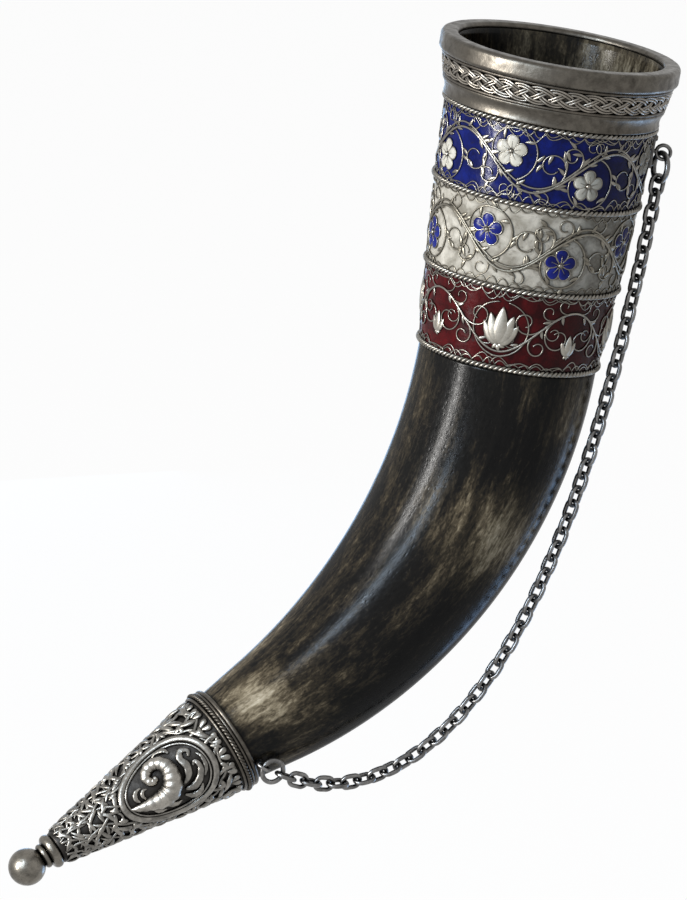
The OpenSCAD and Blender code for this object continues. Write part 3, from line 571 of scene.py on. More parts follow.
friezeShape = {"end": 17.2, "border": 1.0, "wall": 1.1, "channel": 1.3, "dents": 0.08}
t, e, b = rimShape["lip"], friezeShape["end"], friezeShape["border"]
wall, channel = friezeShape["wall"], friezeShape["channel"]
friezeLine = np.array([
    [seatLine(t), t], [rimLine(t) - 0.25, t], [rimLine(t + 0.4), t + 0.35], [rimLine(t + b), t + b],
    [rimLine(t + b) - wall, t + b + 0.15], [rimLine(t + b) - channel, t + b + 0.5],
    [rimLine(e - b) - channel, e - b - 0.5], [rimLine(e - b) - wall, e - b - 0.15],
    [rimLine(e - b), e - b], [rimLine(e), e - 0.3], [rimLine(e) - 0.2, e], [seatLine(e), e]])
lathe("rimFrieze", "rim_frieze", friezeLine, rimShape["around"], rimFrame, friezeShape["dents"], 5,
      "friezeSilver")

plait = {"strands": 4, "waves": 10, "rise": 2.75, "wire": 0.52, "gap": 0.999, "lift": 0.42, "steps": 600,
         "station": 12.4, "sink": 0.82, "radius": 42.0}


def plaitPaths():
    # each strand is a pair of wires along a sine, a quarter wave behind the last, that rises and dips in turn
    # at its six crossings
    turn = turns(plait["steps"])
    crossings = np.array([-45, 0, 45, 135, 180, 225, 315, 360]) * deg
    heights = np.array([-1, 1, -1, 1, -1, 1, -1, 1])
    made, ups = [], []
    for i in range(plait["strands"]):
        phase = plait["waves"] * turn + i * tau / plait["strands"]
        slope = plait["waves"] * plait["rise"] * np.cos(phase) / plait["radius"]
        for shift in (-0.5 * plait["gap"], 0.5 * plait["gap"]):
            aside = shift / np.sqrt(1 + slope ** 2)
            s = plait["station"] + plait["rise"] * np.sin(phase) + aside
            b = turn - aside * slope / plait["radius"]
            out = rimLine(s) - plait["sink"] + plait["lift"] * np.interp(phase % tau, crossings, heights)
            made.append(rimFrame(s, b, out))
            ups.append(outwardAt(0 * s, b))
    return np.array(made), np.array(ups)


build("rimKnotwork", [sweep(*plaitPaths(), plait["wire"], plait["wire"], roundProfile(7), True)],
      paint["knotSilver"], ["rim_interlace"])

mouldShape = {"hollowTop": 18.2, "hollowTall": 5.1, "depth": 0.6, "dents": 0.1}
mouldS = np.linspace(friezeShape["end"], rimShape["end"], 15)
hollowShare = np.clip((mouldS - mouldShape["hollowTop"]) / mouldShape["hollowTall"], 0, 1)
mouldR = rimLine(mouldS) - mouldShape["depth"] * np.sin(hollowShare * math.pi) ** 0.7
mouldLine = np.vstack([[[seatLine(mouldS[0]), mouldS[0]]], np.stack([mouldR, mouldS], -1),
                       [[seatLine(mouldS[-1]), mouldS[-1]]]])
lathe("rimMoulding", "rim_moulding", mouldLine, rimShape["around"], rimFrame, mouldShape["dents"], 9,
      "agedSilver")
print("rim built")

# border wires: two strands twisted round each other
rope = {"twists": 58, "strand": 0.68, "spin": 0.5, "steps": 900}
ropeLift = 0.15  # middle of the wire above the enamel


def twistedRing(frameOf, station, middle, twists, strand, spin, steps):
    # two strands circle the wire's middle, twists times around the ring
    turn = turns(steps)
    phase = twists * turn[None, :] + np.array([[0], [math.pi]])
    s = station + spin * np.sin(phase)
    paths = frameOf(s, turn[None, :] + 0 * s, middle + spin * np.cos(phase))
    ups = outwardAt(0 * s + station, turn[None, :] + 0 * s)
    return sweep(paths, ups, strand, strand, roundProfile(7), True)


for node, station in ropeStations.items():
    parts = [twistedRing(rimFrame, station, float(bandRadius(station)) + ropeLift, **rope)]
    build(node.title().replace("_", "") + "Twist", parts, paint["wireSilver"], [node])
print("border wires built")

# enamel bands: top wire, bottom wire and the bearing of a crest of the scroll
crests = {"blue": 77.0, "white": 84.0, "red": 81.0}
bands = {name: (wireAt[i], wireAt[i + 1], crest) for i, (name, crest) in enumerate(crests.items())}
enamel = {"around": 240, "steps": 40, "edge": 0.6, "dents": 0.14}


def bandLine(top, end):  # outline of the enamel between two border wires
    s = np.linspace(top + enamel["edge"], end - enamel["edge"], enamel["steps"])
    face = np.stack([bandRadius(s), s], -1)
    return np.vstack([face, (face - [under["enamel"], 0])[::-1]])


for name, (top, end, _) in bands.items():
    lathe(name + "Enamel", name + "_enamel", bandLine(top, end), enamel["around"], rimFrame, enamel["dents"],
          int(top), name + "Glass")

# scrolls lie flat in millimetres, x to the right and y to the mouth, from a crest of the band's stem
vine = {"waves": 4, "rise": 9.0, "flowerTurn": -14.0, "flowerDrop": -4.5}


def bandMiddle(name):  # station and radius half way down the band
    s = sum(bands[name][:2]) / 2
    return s, float(bandRadius(s))


def layOut(name, flat, lift):  # a flat drawing laid on the enamel: points and outward directions
    middle, radius = bandMiddle(name)
    s = middle - flat[..., 1]
    b = bands[name][2] * deg - flat[..., 0] / radius
    return rimFrame(s, b, bandRadius(s) + lift), outwardAt(0 * s, b)


def period(name):  # length of one wave of the scroll
    return tau * bandMiddle(name)[1] / vine["waves"]


def spiral(cx, cy, r0, r1, start, end, n=46):  # arc about a centre whose radius eases from r0 to r1
    t = np.linspace(0, 1, n)
    a = (start + (end - start) * t) * deg
    r = r0 + (r1 - r0) * t
    return np.stack([cx + r * np.cos(a), cy + r * np.sin(a)], -1)


def repeated(name, rows, mirror):
    # rows of x, y and any heading at each crest, and, head to foot, half a wave on at each trough
    rows = np.asarray(rows, float)
    step = np.eye(rows.shape[-1])[0] * period(name)
    flip = np.where(np.arange(rows.shape[-1]) == 0, 1, -1)
    made = [rows + i * step for i in range(vine["waves"])]
    if mirror:
        made += [rows * flip + (i + 0.5) * step for i in range(vine["waves"])]
    return np.concatenate(made)


def stem(name, shift, sway, n=480):  # running wave around the band, with a slow sway from its twin
    x = np.arange(n) / n * vine["waves"] * period(name)
    phase = x / period(name) * tau
    y = vine["rise"] * np.cos(phase) + shift * (1 + sway * np.cos(2 * phase + 0.6))
    return np.stack([x + shift * 0.6 * np.sin(phase), y], -1)[None]


def stemAt(name, x):  # height and heading of the scroll's stem
    rate = tau / period(name)
    return vine["rise"] * np.cos(rate * x), np.arctan(-vine["rise"] * rate * np.sin(rate * x))


def branch(name, x0, way, side, length, bendA, bendB, n=46):
    # leaves the stem along it, forwards or back, and turns ever tighter to one side, in degrees
    y0, heading = stemAt(name, x0)
    t = np.linspace(0, 1, n)
    a = heading + (0 if way > 0 else math.pi) + side * deg * (bendA * t + bendB * t ** 2)
    go = np.stack([np.cos(a), np.sin(a)], -1) * length / (n - 1)
    return np.array([x0, y0]) + np.cumsum(go, 0) - go[0]


def wires(name, flat, thick, lift=0.2, closed=False, taper=0.35):
    # round wire laid along flat paths, thinner towards its end
    t = np.linspace(0, 1, flat.shape[1])
    size = thick if closed else thick * (1 - taper * t)
    return sweep(*layOut(name, flat, lift), size, size, roundProfile(7), closed)


def leaves(name, roots, length, width, height, bend=0.25, n=9):
    # pointed leaves: width swells and closes along a curved rib; roots hold x, y and heading in degrees
    t = np.linspace(0, 1, n)
    sizes = (length, width, height, bend)
    length, width, height, bend = [np.broadcast_to(v, len(roots))[:, None] for v in sizes]
    a = roots[:, 2] * deg
    go, cross = np.stack([np.cos(a), np.sin(a)], -1), np.stack([-np.sin(a), np.cos(a)], -1)
    flat = (roots[:, None, :2] + (length * t)[..., None] * go[:, None]
            + (length * bend * t ** 2)[..., None] * cross[:, None])
    swell = leafSwell(t, 0.75, 0.05)
    return sweep(*layOut(name, flat, 0.12), width * swell, height * (swell * 0.8 + 0.2), leafProfile())


def stemLeaves(name, rows):  # leaf roots on the stem, each turned from its heading
    x, turn = np.array(rows, float).T
    y, heading = stemAt(name, x)
    return np.stack([x, y, heading / deg + turn], -1)


def curlLeaves(paths, shares, turn):
    # leaf roots along curls, at shares of their length, turned to either side by turns
    spots = (np.asarray(shares) * (paths.shape[1] - 1)).astype(int)
    go = np.gradient(paths, axis=1)[:, spots]
    side = np.where(np.arange(len(spots)) % 2 == 0, turn, -turn)
    heading = np.arctan2(go[..., 1], go[..., 0]) / deg + side
    return np.concatenate([paths[:, spots], heading[..., None]], -1).reshape(-1, 3)


def scallops(name, edge, size, arcs):  # a row of small arches, of uneven height, standing on a border wire
    turn = turns(arcs * 12)
    arch = size * (0.62 + 0.38 * np.sin(9 * turn) * np.cos(4 * turn)) * np.abs(np.sin(turn / 2 * arcs)) ** 0.8
    x = turn / tau * vine["waves"] * period(name)
    return np.stack([x, edge - math.copysign(1, edge) * arch], -1)[None]


def scroll(name, shape, middle, mirror):
    # stems, wreaths round a middle, branches that curl, finer branches, arches on the borders, and leaves
    parts = [wires(name, stem(name, *way), thick, lift, True) for thick, lift, *way in shape["stems"]]
    curls = [spiral(*middle, *row) for row in shape["wreath"]]
    curls += [branch(name, *row) for row in shape["curls"]]
    threads = [branch(name, *row) for row in shape["threads"]]
    parts.append(wires(name, repeated(name, curls, mirror), shape["curl"]))
    parts.append(wires(name, repeated(name, threads, mirror), shape["thread"], 0.15))
    half = (bands[name][1] - bands[name][0]) / 2 - 1.2
    parts += [wires(name, scallops(name, edge, size, arcs), shape["thread"] * 0.8, 0.1, True)
              for edge in (half, -half) for size, arcs in shape["arches"]]
    onCurls = curlLeaves(np.array(curls), shape["curlLeaves"], 48)
    roots = np.vstack([stemLeaves(name, shape["leaves"]), onCurls])
    parts.append(leaves(name, repeated(name, roots, mirror), *shape["leaf"]))
    return parts


petal = {"count": 5, "middle": 0.58, "long": 0.43, "wide": 0.38, "swell": 0.22, "height": 0.6, "heart": 0.15}


def petalWays(centres):  # flower middles and the petals' directions, as rows
    a = 90 * deg + turns(petal["count"])
    go = np.tile(np.stack([np.cos(a), np.sin(a)], -1), (len(centres), 1))
    return np.repeat(centres, petal["count"], 0), go, np.stack([-go[:, 1], go[:, 0]], -1)


def flower(name, centres, r):
    # round petals, each a swelling egg-shaped form carried out from the heart
    middles, go, _ = petalWays(centres)
    u = domeSteps(13)
    flat = middles[:, None] + (r * (petal["middle"] + petal["long"] * u))[None, :, None] * go[:, None]
    wide = r * petal["wide"] * dome(u) * (1 + petal["swell"] * u)
    return sweep(*layOut(name, flat, 0.15), wide, petal["height"] * dome(u) ** 0.6, leafProfile(12, 0.22))


def flowerRims(name, centres, r, thick):
    # silver outline around each petal, a short vein along it, and a round heart
    middles, go, cross = petalWays(centres)
    a = turns(30)
    along = r * (petal["middle"] + petal["long"] * np.cos(a))
    wide = r * petal["wide"] * np.sin(a) * (1 + petal["swell"] * np.cos(a))
    edge = middles[:, None] + along[None, :, None] * go[:, None] + wide[None, :, None] * cross[:, None]
    vein = middles[:, None] + (np.linspace(0.1, 0.62, 6) * r)[None, :, None] * go[:, None]
    heart, u = petal["heart"] * r, domeSteps(9)
    knob = centres[:, None, :] + np.stack([heart * u, 0 * u], -1)[None]
    return [wires(name, edge, thick, 0.3, True), wires(name, vein, thick * 0.7, 0.68, False, 0.6),
            sweep(*layOut(name, knob, 0.45), dome(u) * heart, dome(u) * heart, roundProfile(10))]


# stems: thickness, lift, shift, sway; curls and threads: start, way, side, length, two bends
# leaves: place on the stem, turn; arches: size, number; leaf: length, width, height
leafShares = (0.2, 0.34, 0.5, 0.64, 0.78)
scrollShape = {
    "blue": {"stems": [(0.46, 0.25, -0.5, 0.5), (0.36, 0.2, 0.7, 0.8)], "wreath": [(11.0, 7.2, 72, -225)],
             "curl": 0.31, "curls": [(2.5, 1, -1, 37, 70, 330), (15.0, 1, -1, 25, 110, 300)],
             "thread": 0.25, "threads": [(22.0, 1, -1, 17, 120, 240), (2.0, 1, 1, 13, 60, 260),
                                         (-4.0, -1, -1, 12, 60, 260)],
             "arches": [(2.7, 52), (4.8, 34)], "leaf": (3.9, 0.68, 0.42), "curlLeaves": leafShares,
             "leaves": [(8, 48), (8, -50), (13, 44), (20, 50), (-13, 46), (-18, -44), (-23, 48), (1, 50),
                        (-6, -48), (26, -46)]},
    "white": {"stems": [(0.52, 0.25, -0.5, 0.5), (0.41, 0.2, 0.7, 0.8)], "wreath": [(11.0, 7.2, 72, -225)],
              "curl": 0.39, "curls": [(2.0, 1, -1, 40, 70, 330), (14.0, 1, -1, 27, 110, 300)],
              "thread": 0.3, "threads": [(21.0, 1, -1, 18, 120, 240), (2.0, 1, 1, 14, 60, 260)],
              "arches": [(2.7, 52)], "leaf": (3.8, 0.72, 0.45), "curlLeaves": leafShares,
              "leaves": [(7.5, 48), (8, -52), (12.5, 44), (19, 50), (-13, 46), (-18, -44), (-23, 48), (1, 52),
                         (-6, -48), (25, -46)]}}
flowerLooks = {  # petals' finish, radius and slot, thickness of their outline, finish of the scroll
    "blue": ("ivoryGlass", 6.0, "white_inlay", 0.2, "wireSilver"),
    "white": ("indigoGlass", 6.2, "blue_inlay", 0.24, "vineSilver")}
for name, (glass, petalR, slot, outline, silver) in flowerLooks.items():
    middle = (vine["flowerTurn"] * deg * bandMiddle(name)[1], vine["flowerDrop"])
    centres = repeated(name, [middle], True)
    parts = scroll(name, scrollShape[name], middle, True)
    build(name + "Scroll", parts, paint[silver], [name + "_vine"])
    build(name + "Flowers", [flower(name, centres, petalR)], paint[glass], [name + "_band_flowers"])
    build(name + "FlowerRims", flowerRims(name, centres, petalR, outline), paint["wireSilver"])


def bothWays(rows):  # each branch and its mirror image
    return [row for x, way, side, *rest in rows for row in ((x, way, side, *rest), (-x, -way, -side, *rest))]


redShape = {
    "stems": [(0.44, 0.22, 0.0, 0.0)], "wreath": [(11.6, 9.8, -100, 80), (11.6, 9.8, -80, -260)],
    "curl": 0.33, "curls": bothWays([(3.5, 1, -1, 34, 80, 300), (12.0, 1, 1, 26, 90, 300),
                                     (15.0, 1, -1, 20, 140, 240)]),
    "thread": 0.25, "threads": bothWays([(9.0, 1, -1, 18, 150, 230), (2.0, 1, 1, 13, 70, 250),
                                         (20.5, 1, 1, 15, 140, 220), (6.5, 1, 1, 15, 80, 250)]),
    "arches": [(2.5, 48), (4.2, 30)], "leaf": (3.4, 0.66, 0.42), "curlLeaves": (),
    "leaves": [(9, 46), (-9, 134), (12.5, -46), (-12.5, -134), (5, -60), (-5, -120), (20, 46), (-20, 134)]}
trough = -period("red") / 2
build("redScroll", scroll("red", redShape, (trough, 0.6), False), paint["wireSilver"], ["red_vine"])


def palmettes(name, size, root, centre, fan):
    # a lotus: broad pointed leaves that spread from one root, the middle one largest, over a small calyx
    fan = np.array(fan, float)
    long = np.tile(size * (1 - 0.0046 * np.abs(fan)), vine["waves"])
    roots = repeated(name, [[centre, root, 90 + 0.78 * f] for f in fan], False)
    petals = leaves(name, roots, long, 0.2 * long, 0.11 * long, np.tile(-fan / 300.0, vine["waves"]), 13)
    calyx = repeated(name, [[centre, root + 0.04 * size, -90 + f] for f in (-55, 0, 55)], False)
    return [petals, leaves(name, calyx, 0.2 * size, 0.06 * size, 0.07 * size)]


lotuses = palmettes("red", 15.0, -6.6, trough, (-64, 64, -34, 34, 0))
lotuses += palmettes("red", 8.2, -8.2, 0.0, (-50, 50, 0))
build("redPalmettes", lotuses, paint["paleSilver"], ["red_band_palmettes"])
print("bands built")

# tip cap: a tapering shell closed at its end round the stud
capShape = {"around": 260, "steps": 120, "dents": 0.2, "stud": 1.5}
capEnd = capMouth + capTop["length"]
capS = np.linspace(capMouth, capEnd, capShape["steps"])
capFace = np.stack([capRadius(capS), capS], -1)
capLine = np.vstack([capFace, [[capShape["stud"], capEnd], [capShape["stud"], capEnd - capTop["wall"]]],
                     (capFace - [capTop["wall"], 0])[::-1][2:]])
lathe("capBody", "cap_shell", capLine, capShape["around"], onHorn, capShape["dents"], 21, "capGround")
capLeaf = leafProfile(10, 0.5)
medallion = {"drop": 29.0, "bearing": 111.0, "a": 19.0, "b": 14.5, "inset": 1.9}
medalStation = capMouth + medallion["drop"]
medalRadius = float(capRadius(medalStation))


def onCap(s, bearing, lift):  # points at a lift off the cone, and outward directions
    return onHorn(s, bearing, capRadius(s) + lift), outwardAt(s, bearing)


def layOnCap(a, b, lift):
    # a towards the cap's mouth and b around it, in millimetres from the medallion's middle
    return onCap(medalStation - a, medallion["bearing"] * deg + b / medalRadius, lift)


def oval(a, inset, lift, width, height, k):  # a wire around the medallion, at angles a and inside its edge
    points, ups = layOnCap((medallion["a"] - inset) * np.cos(a), (medallion["b"] - inset) * np.sin(a), lift)
    return sweep(points[None], ups[None], width, height, roundProfile(k), True)


def inMedallion(s, bearing, spare):  # above 0 inside the oval
    turn = (bearing - medallion["bearing"] * deg + math.pi) % tau - math.pi
    return 1 - np.hypot((medalStation - s) / (medallion["a"] + spare),
                        turn * medalRadius / (medallion["b"] + spare))


capVine = {"stems": 9, "twist": 75.0, "sway": 7.0, "swayRate": 26.0, "weaveRate": 40.0, "start": 4.2,
           "run": 70.5, "leafRun": 68.0, "leafRows": 15, "stem": 0.6, "leaf": 8.4, "width": 1.2, "height": 0.9}


def vineBearing(t, way):  # an even twist with a sway, from each stem's start
    start = turns(capVine["stems"])
    swayed = capVine["sway"] * np.sin(t * capVine["swayRate"] + way)
    return start[:, None] + way * deg * (capVine["twist"] * t + swayed)[None, :]


def capRelief():
    # stems wind both ways round the cone and sway; leaves leave them on both sides and shrink towards the tip
    t = np.linspace(0, 1, 90)
    u = (np.arange(capVine["leafRows"]) + 0.5) / capVine["leafRows"]
    parts, rows = [], []
    for way in (-1, 1):
        b = vineBearing(t, way)
        s = capMouth + capVine["start"] + capVine["run"] * t[None, :] + 0 * b
        sunk = np.clip(inMedallion(s, b, 1.0) * 14, 0, 1)
        lift = 0.25 + 0.35 * way * np.sin(t * capVine["weaveRate"])[None, :] - 2.6 * sunk
        size = capVine["stem"] * (1.1 - 0.5 * t)[None, :] + 0 * b
        parts.append(sweep(*onCap(s, b, lift), size * 1.3, size, roundProfile(7)))
        rootB = vineBearing(u, way)
        rootS = capMouth + capVine["start"] + capVine["leafRun"] * u[None, :] + 0 * rootB
        rows.append(np.stack([rootB, rootS, 0 * rootB + way], -1).reshape(-1, 3))
    roots = np.concatenate(rows)
    roots = np.concatenate([np.column_stack([roots, 0 * roots[:, 0] + side]) for side in (-1, 1)])
    taper = (capRadius(roots[:, 1]) / capTop["cap"]) ** 0.6
    length = capVine["leaf"] * taper * rng.uniform(0.8, 1.2, len(roots))
    heading = roots[:, 2] * 24 * deg + roots[:, 3] * 30 * deg + rng.normal(0, 0.2, len(roots))
    t = np.linspace(0, 1, 9)[None, :]
    across = np.sin(heading)[:, None] * t + (np.cos(heading) * roots[:, 3] * 0.45)[:, None] * t ** 2
    down = np.cos(heading)[:, None] * t
    s = np.clip(roots[:, 1][:, None] + length[:, None] * down, capMouth + 3.6, capEnd - 0.6)
    b = roots[:, 0][:, None] + length[:, None] * across / capRadius(s)
    free = np.max(inMedallion(s, b, 2.0), 1) < 0
    s, b, shrink = s[free], b[free], (length[free] / capVine["leaf"])[:, None]
    arch = 0.15 + 0.55 * np.sin(math.pi * t * 0.9)
    swell = leafSwell(t) * shrink
    laid = onCap(s, b, arch * shrink)
    parts.append(sweep(*laid, capVine["width"] * swell, capVine["height"] * swell, capLeaf))
    return parts


frameVine = {"offset": 2.7, "sway": 0.7, "waves": 13, "leaves": 34, "root": 1.8, "length": 4.6, "width": 0.95,
             "height": 0.75, "turn": 0.75, "collar": 4.2}


def frameRelief():
    # a swaying stem just outside the medallion, with leaves turned out from it by turns
    a = turns(200)
    off = frameVine["offset"] + frameVine["sway"] * np.sin(frameVine["waves"] * a)
    parts = [oval(a, -off, 0.3, 0.6, 0.5, 7)]
    f = turns(frameVine["leaves"])
    turnOut = f + np.where(np.arange(len(f)) % 2 == 0, frameVine["turn"], -frameVine["turn"])
    t = np.linspace(0, 1, 9)
    far = frameVine["length"] * t
    down = ((medallion["a"] + frameVine["root"]) * np.cos(f))[:, None] + far * np.cos(turnOut)[:, None]
    across = ((medallion["b"] + frameVine["root"]) * np.sin(f))[:, None] + far * np.sin(turnOut)[:, None]
    free = np.max(down, 1) < medallion["drop"] - frameVine["collar"]
    laid = layOnCap(down[free], across[free], 0.2 + 0.5 * np.sin(math.pi * t))
    swell = leafSwell(t)
    return parts + [sweep(*laid, frameVine["width"] * swell, frameVine["height"] * swell, capLeaf)]


hangers = {"count": 36, "root": 3.6, "length": 4.3, "lean": 0.35, "width": 1.2, "height": 0.85}


def collarRelief():
    # a row of leaves hanging from the collar towards the tip, leaning by turns
    b = turns(hangers["count"])
    lean = np.where(np.arange(hangers["count"]) % 2 == 0, hangers["lean"], -hangers["lean"])
    t = np.linspace(0, 1, 9)
    s = capMouth + hangers["root"] + hangers["length"] * t[None, :] + 0 * b[:, None]
    around = b[:, None] + hangers["length"] * lean[:, None] * t ** 2 / capRadius(s)
    swell = leafSwell(t, 0.7)
    return [sweep(*onCap(s, around, 0.3), hangers["width"] * swell, hangers["height"] * swell, capLeaf)]


build("capLeaves", capRelief() + frameRelief() + collarRelief(), paint["capSilver"])


def throughPoints(points, n):  # smooth path through points, each coordinate a cubic between neighbours
    points = np.asarray(points, float)
    padded = np.vstack([2 * points[0] - points[1], points, 2 * points[-1] - points[-2]])
    u = np.linspace(0, len(points) - 1 - 1e-6, n)
    i = u.astype(int)
    f = (u - i)[:, None]
    p0, p1, p2, p3 = padded[i], padded[i + 1], padded[i + 2], padded[i + 3]
    return 0.5 * (2 * p1 + (p2 - p0) * f + (2 * p0 - 5 * p1 + 4 * p2 - p3) * f ** 2
                  + (3 * p1 - p0 - 3 * p2 + p3) * f ** 3)


def capForm(rows, n, profile, flatten=0.85, sink=0.3):
    # rows of a, b and half width: a form carried along them on the cap, with cast ridges across it
    path = throughPoints(rows, n)
    path[:, 2] *= 1 + 0.05 * np.sin(np.arange(n) * 1.3)
    points, ups = layOnCap(path[:, 0], path[:, 1], np.maximum(0, path[:, 2] * flatten * sink))
    return sweep(points[None], ups[None], path[None, :, 2], path[None, :, 2] * flatten, profile)


parts = [oval(turns(160), 0, 0.45, 1.35, 0.95, 12), oval(turns(160), medallion["inset"], 0.2, 0.5, 0.5, 8)]
build("medallionFrame", parts, paint["capSilver"], ["medallion_frame"])
beast = {
    "body": [(-17.6, -2.0, 0.3), (-13.5, -3.4, 1.6), (-9.0, -4.2, 2.7), (-4.2, -4.4, 3.7), (0.2, -2.6, 3.9),
             (2.4, 1.2, 3.5), (2.8, 5.0, 3.0), (0.4, 8.2, 2.6), (-3.4, 8.6, 2.3), (-6.0, 6.2, 2.0),
             (-5.0, 3.4, 1.7), (-2.6, 3.8, 1.2)],
    "fins": [[(-4.5, -6.2, 0.4), (-3.0, -8.2, 1.2), (-0.4, -9.6, 0.9), (1.8, -9.4, 0.2)],
             [(-8.6, -6.0, 0.4), (-8.4, -8.0, 1.1), (-6.6, -9.6, 0.8), (-4.6, -10.2, 0.2)],
             [(-12.4, -1.6, 0.3), (-13.4, 1.2, 1.0), (-12.0, 3.6, 0.8), (-9.6, 4.0, 0.2)],
             [(-10.0, -1.6, 0.3), (-10.6, 0.8, 0.8), (-9.4, 2.4, 0.6), (-7.8, 2.2, 0.2)]],
    "scrolls": [[(5.0, -3.6, 0.5), (7.8, -1.6, 1.5), (9.2, 1.6, 1.7), (8.4, 4.6, 1.5), (10.2, 6.8, 1.2),
                 (12.6, 5.6, 0.9), (11.6, 3.8, 0.5)],
                [(4.6, -5.6, 0.5), (8.0, -5.8, 1.6), (11.2, -4.2, 1.5), (13.4, -1.2, 1.2), (12.8, 1.4, 0.8),
                 (11.2, 0.6, 0.4)],
                [(3.6, -7.6, 0.4), (6.6, -9.2, 1.3), (9.6, -8.6, 1.2), (11.4, -6.6, 0.4)],
                [(6.4, 8.8, 0.4), (5.2, 10.8, 1.1), (2.4, 12.0, 0.8), (0.4, 11.6, 0.2)],
                [(13.4, -4.4, 0.4), (15.4, -1.8, 0.9), (15.8, 1.6, 0.7), (14.6, 3.6, 0.2)]]}
ribbed = leafProfile(12, 0.4)
parts = [capForm(beast["body"], 90, roundProfile(16), 0.95, 0.25)]
parts += [capForm(rows, 24, ribbed) for rows in beast["fins"]]
build("medallionBeast", parts, paint["beastSilver"], ["medallion_beast"])
parts = [capForm(rows, 30, ribbed) for rows in beast["scrolls"]]
build("medallionScrolls", parts, paint["capSilver"])

# rings at the cap's mouth: a beaded collar, a twisted cable and a plain fillet
collar = {"tall": 3.2, "gap": 0.15, "out": 1.1, "bead": 0.95, "lowBead": 0.6, "groove": (0.75, 2.05),
          "around": 200, "dents": 0.05}
collarTop = capMouth - collar["tall"]
collarIn = float(bareRadius(collarTop)) + collar["gap"]
collarOut = capTop["cap"] + collar["out"]
big, small = collar["bead"], collar["lowBead"]
collarLine = np.vstack([
    [[collarIn, collarTop]], arcLine((collarOut - big, collarTop + big), big, 90, -70),
    [[collarOut - collar["groove"][0], collarTop + collar["groove"][1]]],
    arcLine((collarOut - small, capMouth - small), small, 110, -90, 8), [[collarIn, capMouth]]])
lathe("capCollar", "cap_collar", collarLine, collar["around"], onHorn, collar["dents"], 31, "agedSilver")
cable = {"twists": 40, "strand": 0.56, "spin": 0.4, "steps": 700}
cableStation, cableLift = capMouth + 0.95, 0.95
parts = [twistedRing(onHorn, cableStation, float(capRadius(cableStation)) + cableLift, **cable)]
build("capCable", parts, paint["agedSilver"], ["cap_cable"])
fillet = {"station": capMouth + 2.55, "lift": 0.6, "wire": 0.65}
a = turns(220)
path, ups = onCap(fillet["station"], a, fillet["lift"])
parts = [sweep(path[None], ups[None], fillet["wire"], fillet["wire"], roundProfile(10), True)]
build("capFillet", parts, paint["agedSilver"], ["cap_fillet"])

# turned end: two beads and a ball on the stud
beads = {  # node, height, radii of the foot and of the arc's middle, its sweep and steps, around, dents, seed
    "neckCollar": ("neck_collar", 4.2, 4.6, 4.85, 100, 15, 120, 0.06, 41),
    "neckRing": ("neck_ring", 2.6, 3.5, 3.7, 90, 11, 100, 0.04, 43)}
station, stud = capEnd, capShape["stud"]
for name, (node, tall, footR, middleR, reach, steps, around, dents, seed) in beads.items():
    arc = arcLine((middleR, station + tall / 2), tall / 2, reach, -reach, steps)
    line = np.vstack([[[stud, station], [footR, station]], arc, [[stud, station + tall]]])
    lathe(name, node, line, around, onHorn, dents, seed, "ballSilver")
    station += tall
ball = {"radius": 7.15, "seat": 3.2, "rings": 60, "around": 90}
ballR = ball["radius"]
ballStation = station + math.sqrt(ballR ** 2 - ball["seat"] ** 2)
ballA = np.linspace(math.asin(ball["seat"] / ballR), math.pi - 0.02, ball["rings"])
ballRings = onHorn((ballStation - ballR * np.cos(ballA))[:, None], turns(ball["around"])[None, :],
                   (ballR * np.sin(ballA))[:, None])
build("finialBall", [ringSkin(ballRings, onHorn(station, 0, 0), onHorn(ballStation + ballR, 0, 0))],
      paint["ballSilver"], ["finial_ball"])
print("cap built")

# chain: links strung along the catenary between the two eyes, with a ring at each end
chain = {"count": 54, "length": 9.4, "width": 6.8, "wire": 1.8, "gap": 0.15, "twist": -20.0, "twistLinks": 9,
         "weldRise": 0.09, "weldMost": 0.06, "weldLong": 0.9, "slim": 0.97}
upper = {"station": 33.0, "bearing": 30.0, "off": 4.7, "ring": 5.35, "ringWire": 2.2,
         "eye": 2.7, "eyeWire": 1.5, "play": 0.45}
lower = {"station": capMouth - 5.0, "bearing": 72.0, "off": 3.2, "ring": 4.35, "ringWire": 1.9,
         "eye": 2.4, "eyeWire": 1.4, "play": 0.3}
reach = (chain["length"] - chain["wire"]) / 2
pitch = chain["length"] - 2 * chain["wire"] - chain["gap"]


def eyeToRing(end):  # middle to middle, with the ring hanging in the eye
    return end["eye"] - end["eyeWire"] / 2 - end["ringWire"] / 2 - end["play"] + end["ring"]


def ringToLink(end):  # middle to middle, with the last link hanging in the ring
    return end["ring"] - end["ringWire"] / 2 - chain["wire"] / 2 - chain["gap"] + reach


def eyeAt(end, radius):  # middle of an eye, off the surface at its station
    return onHorn(end["station"], end["bearing"] * deg, float(radius(end["station"])) + end["off"])


upperEye, lowerEye = eyeAt(upper, bandRadius), eyeAt(lower, bareRadius)
firstAt = eyeToRing(upper) + ringToLink(upper)
chainLength = firstAt + (chain["count"] - 1) * pitch + ringToLink(lower) + eyeToRing(lower)
span = lowerEye - upperEye
run, drop, heading = math.hypot(span[0], span[1]), span[2], math.atan2(span[1], span[0])
slack = math.sqrt(chainLength ** 2 - drop ** 2)
low, high = run / 40, run * 40
for _ in range(60):  # size of the catenary, by halving
    mid = (low + high) / 2
    low, high = (mid, high) if 2 * mid * math.sinh(run / 2 / mid) > slack else (low, mid)
hangA = (low + high) / 2
hangX = run / 2 - hangA * math.asinh(drop / (2 * hangA * math.sinh(run / 2 / hangA)))


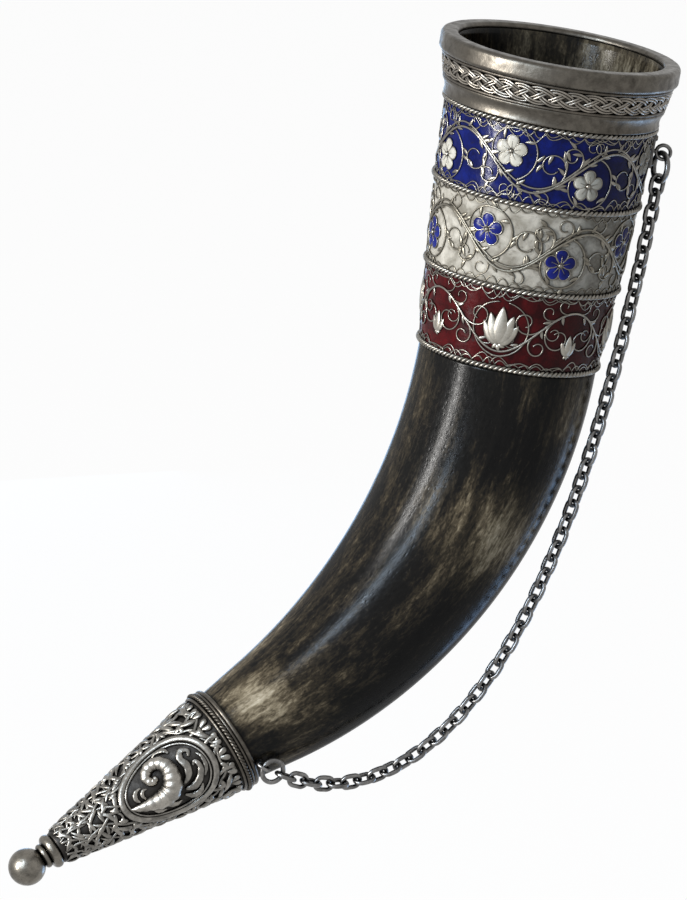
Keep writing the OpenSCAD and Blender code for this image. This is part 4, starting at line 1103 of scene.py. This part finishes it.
def hanging(d):  # point and slope of the catenary at a distance along it
    x = hangX + hangA * np.arcsinh(math.sinh(-hangX / hangA) + np.asarray(d, float) / hangA)
    z = hangA * (np.cosh((x - hangX) / hangA) - math.cosh(hangX / hangA))
    point = upperEye + np.stack([x * math.cos(heading), x * math.sin(heading), z], -1)
    return point, np.arctan(np.sinh((x - hangX) / hangA))


def linkPaths():
    # each link is an oval of two straight sides and two half circles, every other one a quarter turn round,
    # on a slow twist; one straight side is a little thicker at its weld
    bend = (chain["width"] - chain["wire"]) / 2
    half = reach - bend
    a = np.linspace(-math.pi / 2, math.pi / 2, 13)
    arc = np.stack([half + bend * np.cos(a), bend * np.sin(a)], -1)
    side = np.array([[half / 3, bend], [-half / 3, bend]])
    loop = np.vstack([arc, side, -arc, -side])
    index = np.arange(chain["count"])
    point, slope = hanging(firstAt + index * pitch)
    flat = np.cos(slope)
    ahead = np.stack([flat * math.cos(heading), flat * math.sin(heading), np.sin(slope)], -1)
    level = np.array([-math.sin(heading), math.cos(heading), 0.0]) + 0 * ahead
    above = np.cross(ahead, level)
    ends = np.minimum(index, chain["count"] - 1 - index) / chain["twistLinks"]
    roll = (np.where(index % 2 == 0, 90, 0) + chain["twist"] * np.minimum(1, ends))[:, None] * deg
    across, axis = np.cos(roll) * level + np.sin(roll) * above, np.cos(roll) * above - np.sin(roll) * level
    paths = point[:, None] + loop[None, :, :1] * ahead[:, None] + loop[None, :, 1:] * across[:, None]
    weld = chain["weldRise"] * np.exp(-((loop[:, 0] / chain["weldLong"]) ** 2)) * (loop[:, 1] > 0)
    return paths, axis[:, None] + 0 * paths, 1 + np.minimum(weld, chain["weldMost"])


paths, ups, swell = linkPaths()
linkSize = chain["wire"] / 2 * swell[None, :] * chain["slim"]
parts = [sweep(paths, ups, linkSize, linkSize, roundProfile(12), True)]
runs = ["chain_run_%d" % i for i in range(1, 10)]
build("chainLinks", parts, paint["chainSteel"], runs, "chain")
print("chain built")

# pieces shown as the solids are
plainPieces = {"upper_eye": "chainSteel", "lower_eye": "chainSteel", "upper_ring": "chainSteel",
               "lower_ring": "chainSteel", "finial_stud": "chainSteel", "upper_eye_rivets": "agedSilver",
               "band_sleeve": "darkSilver", "cap_bedding": "pitchFill"}
for node, name in plainPieces.items():
    cadNode[node].data.materials.clear()
    cadNode[node].data.materials.append(paint[name])
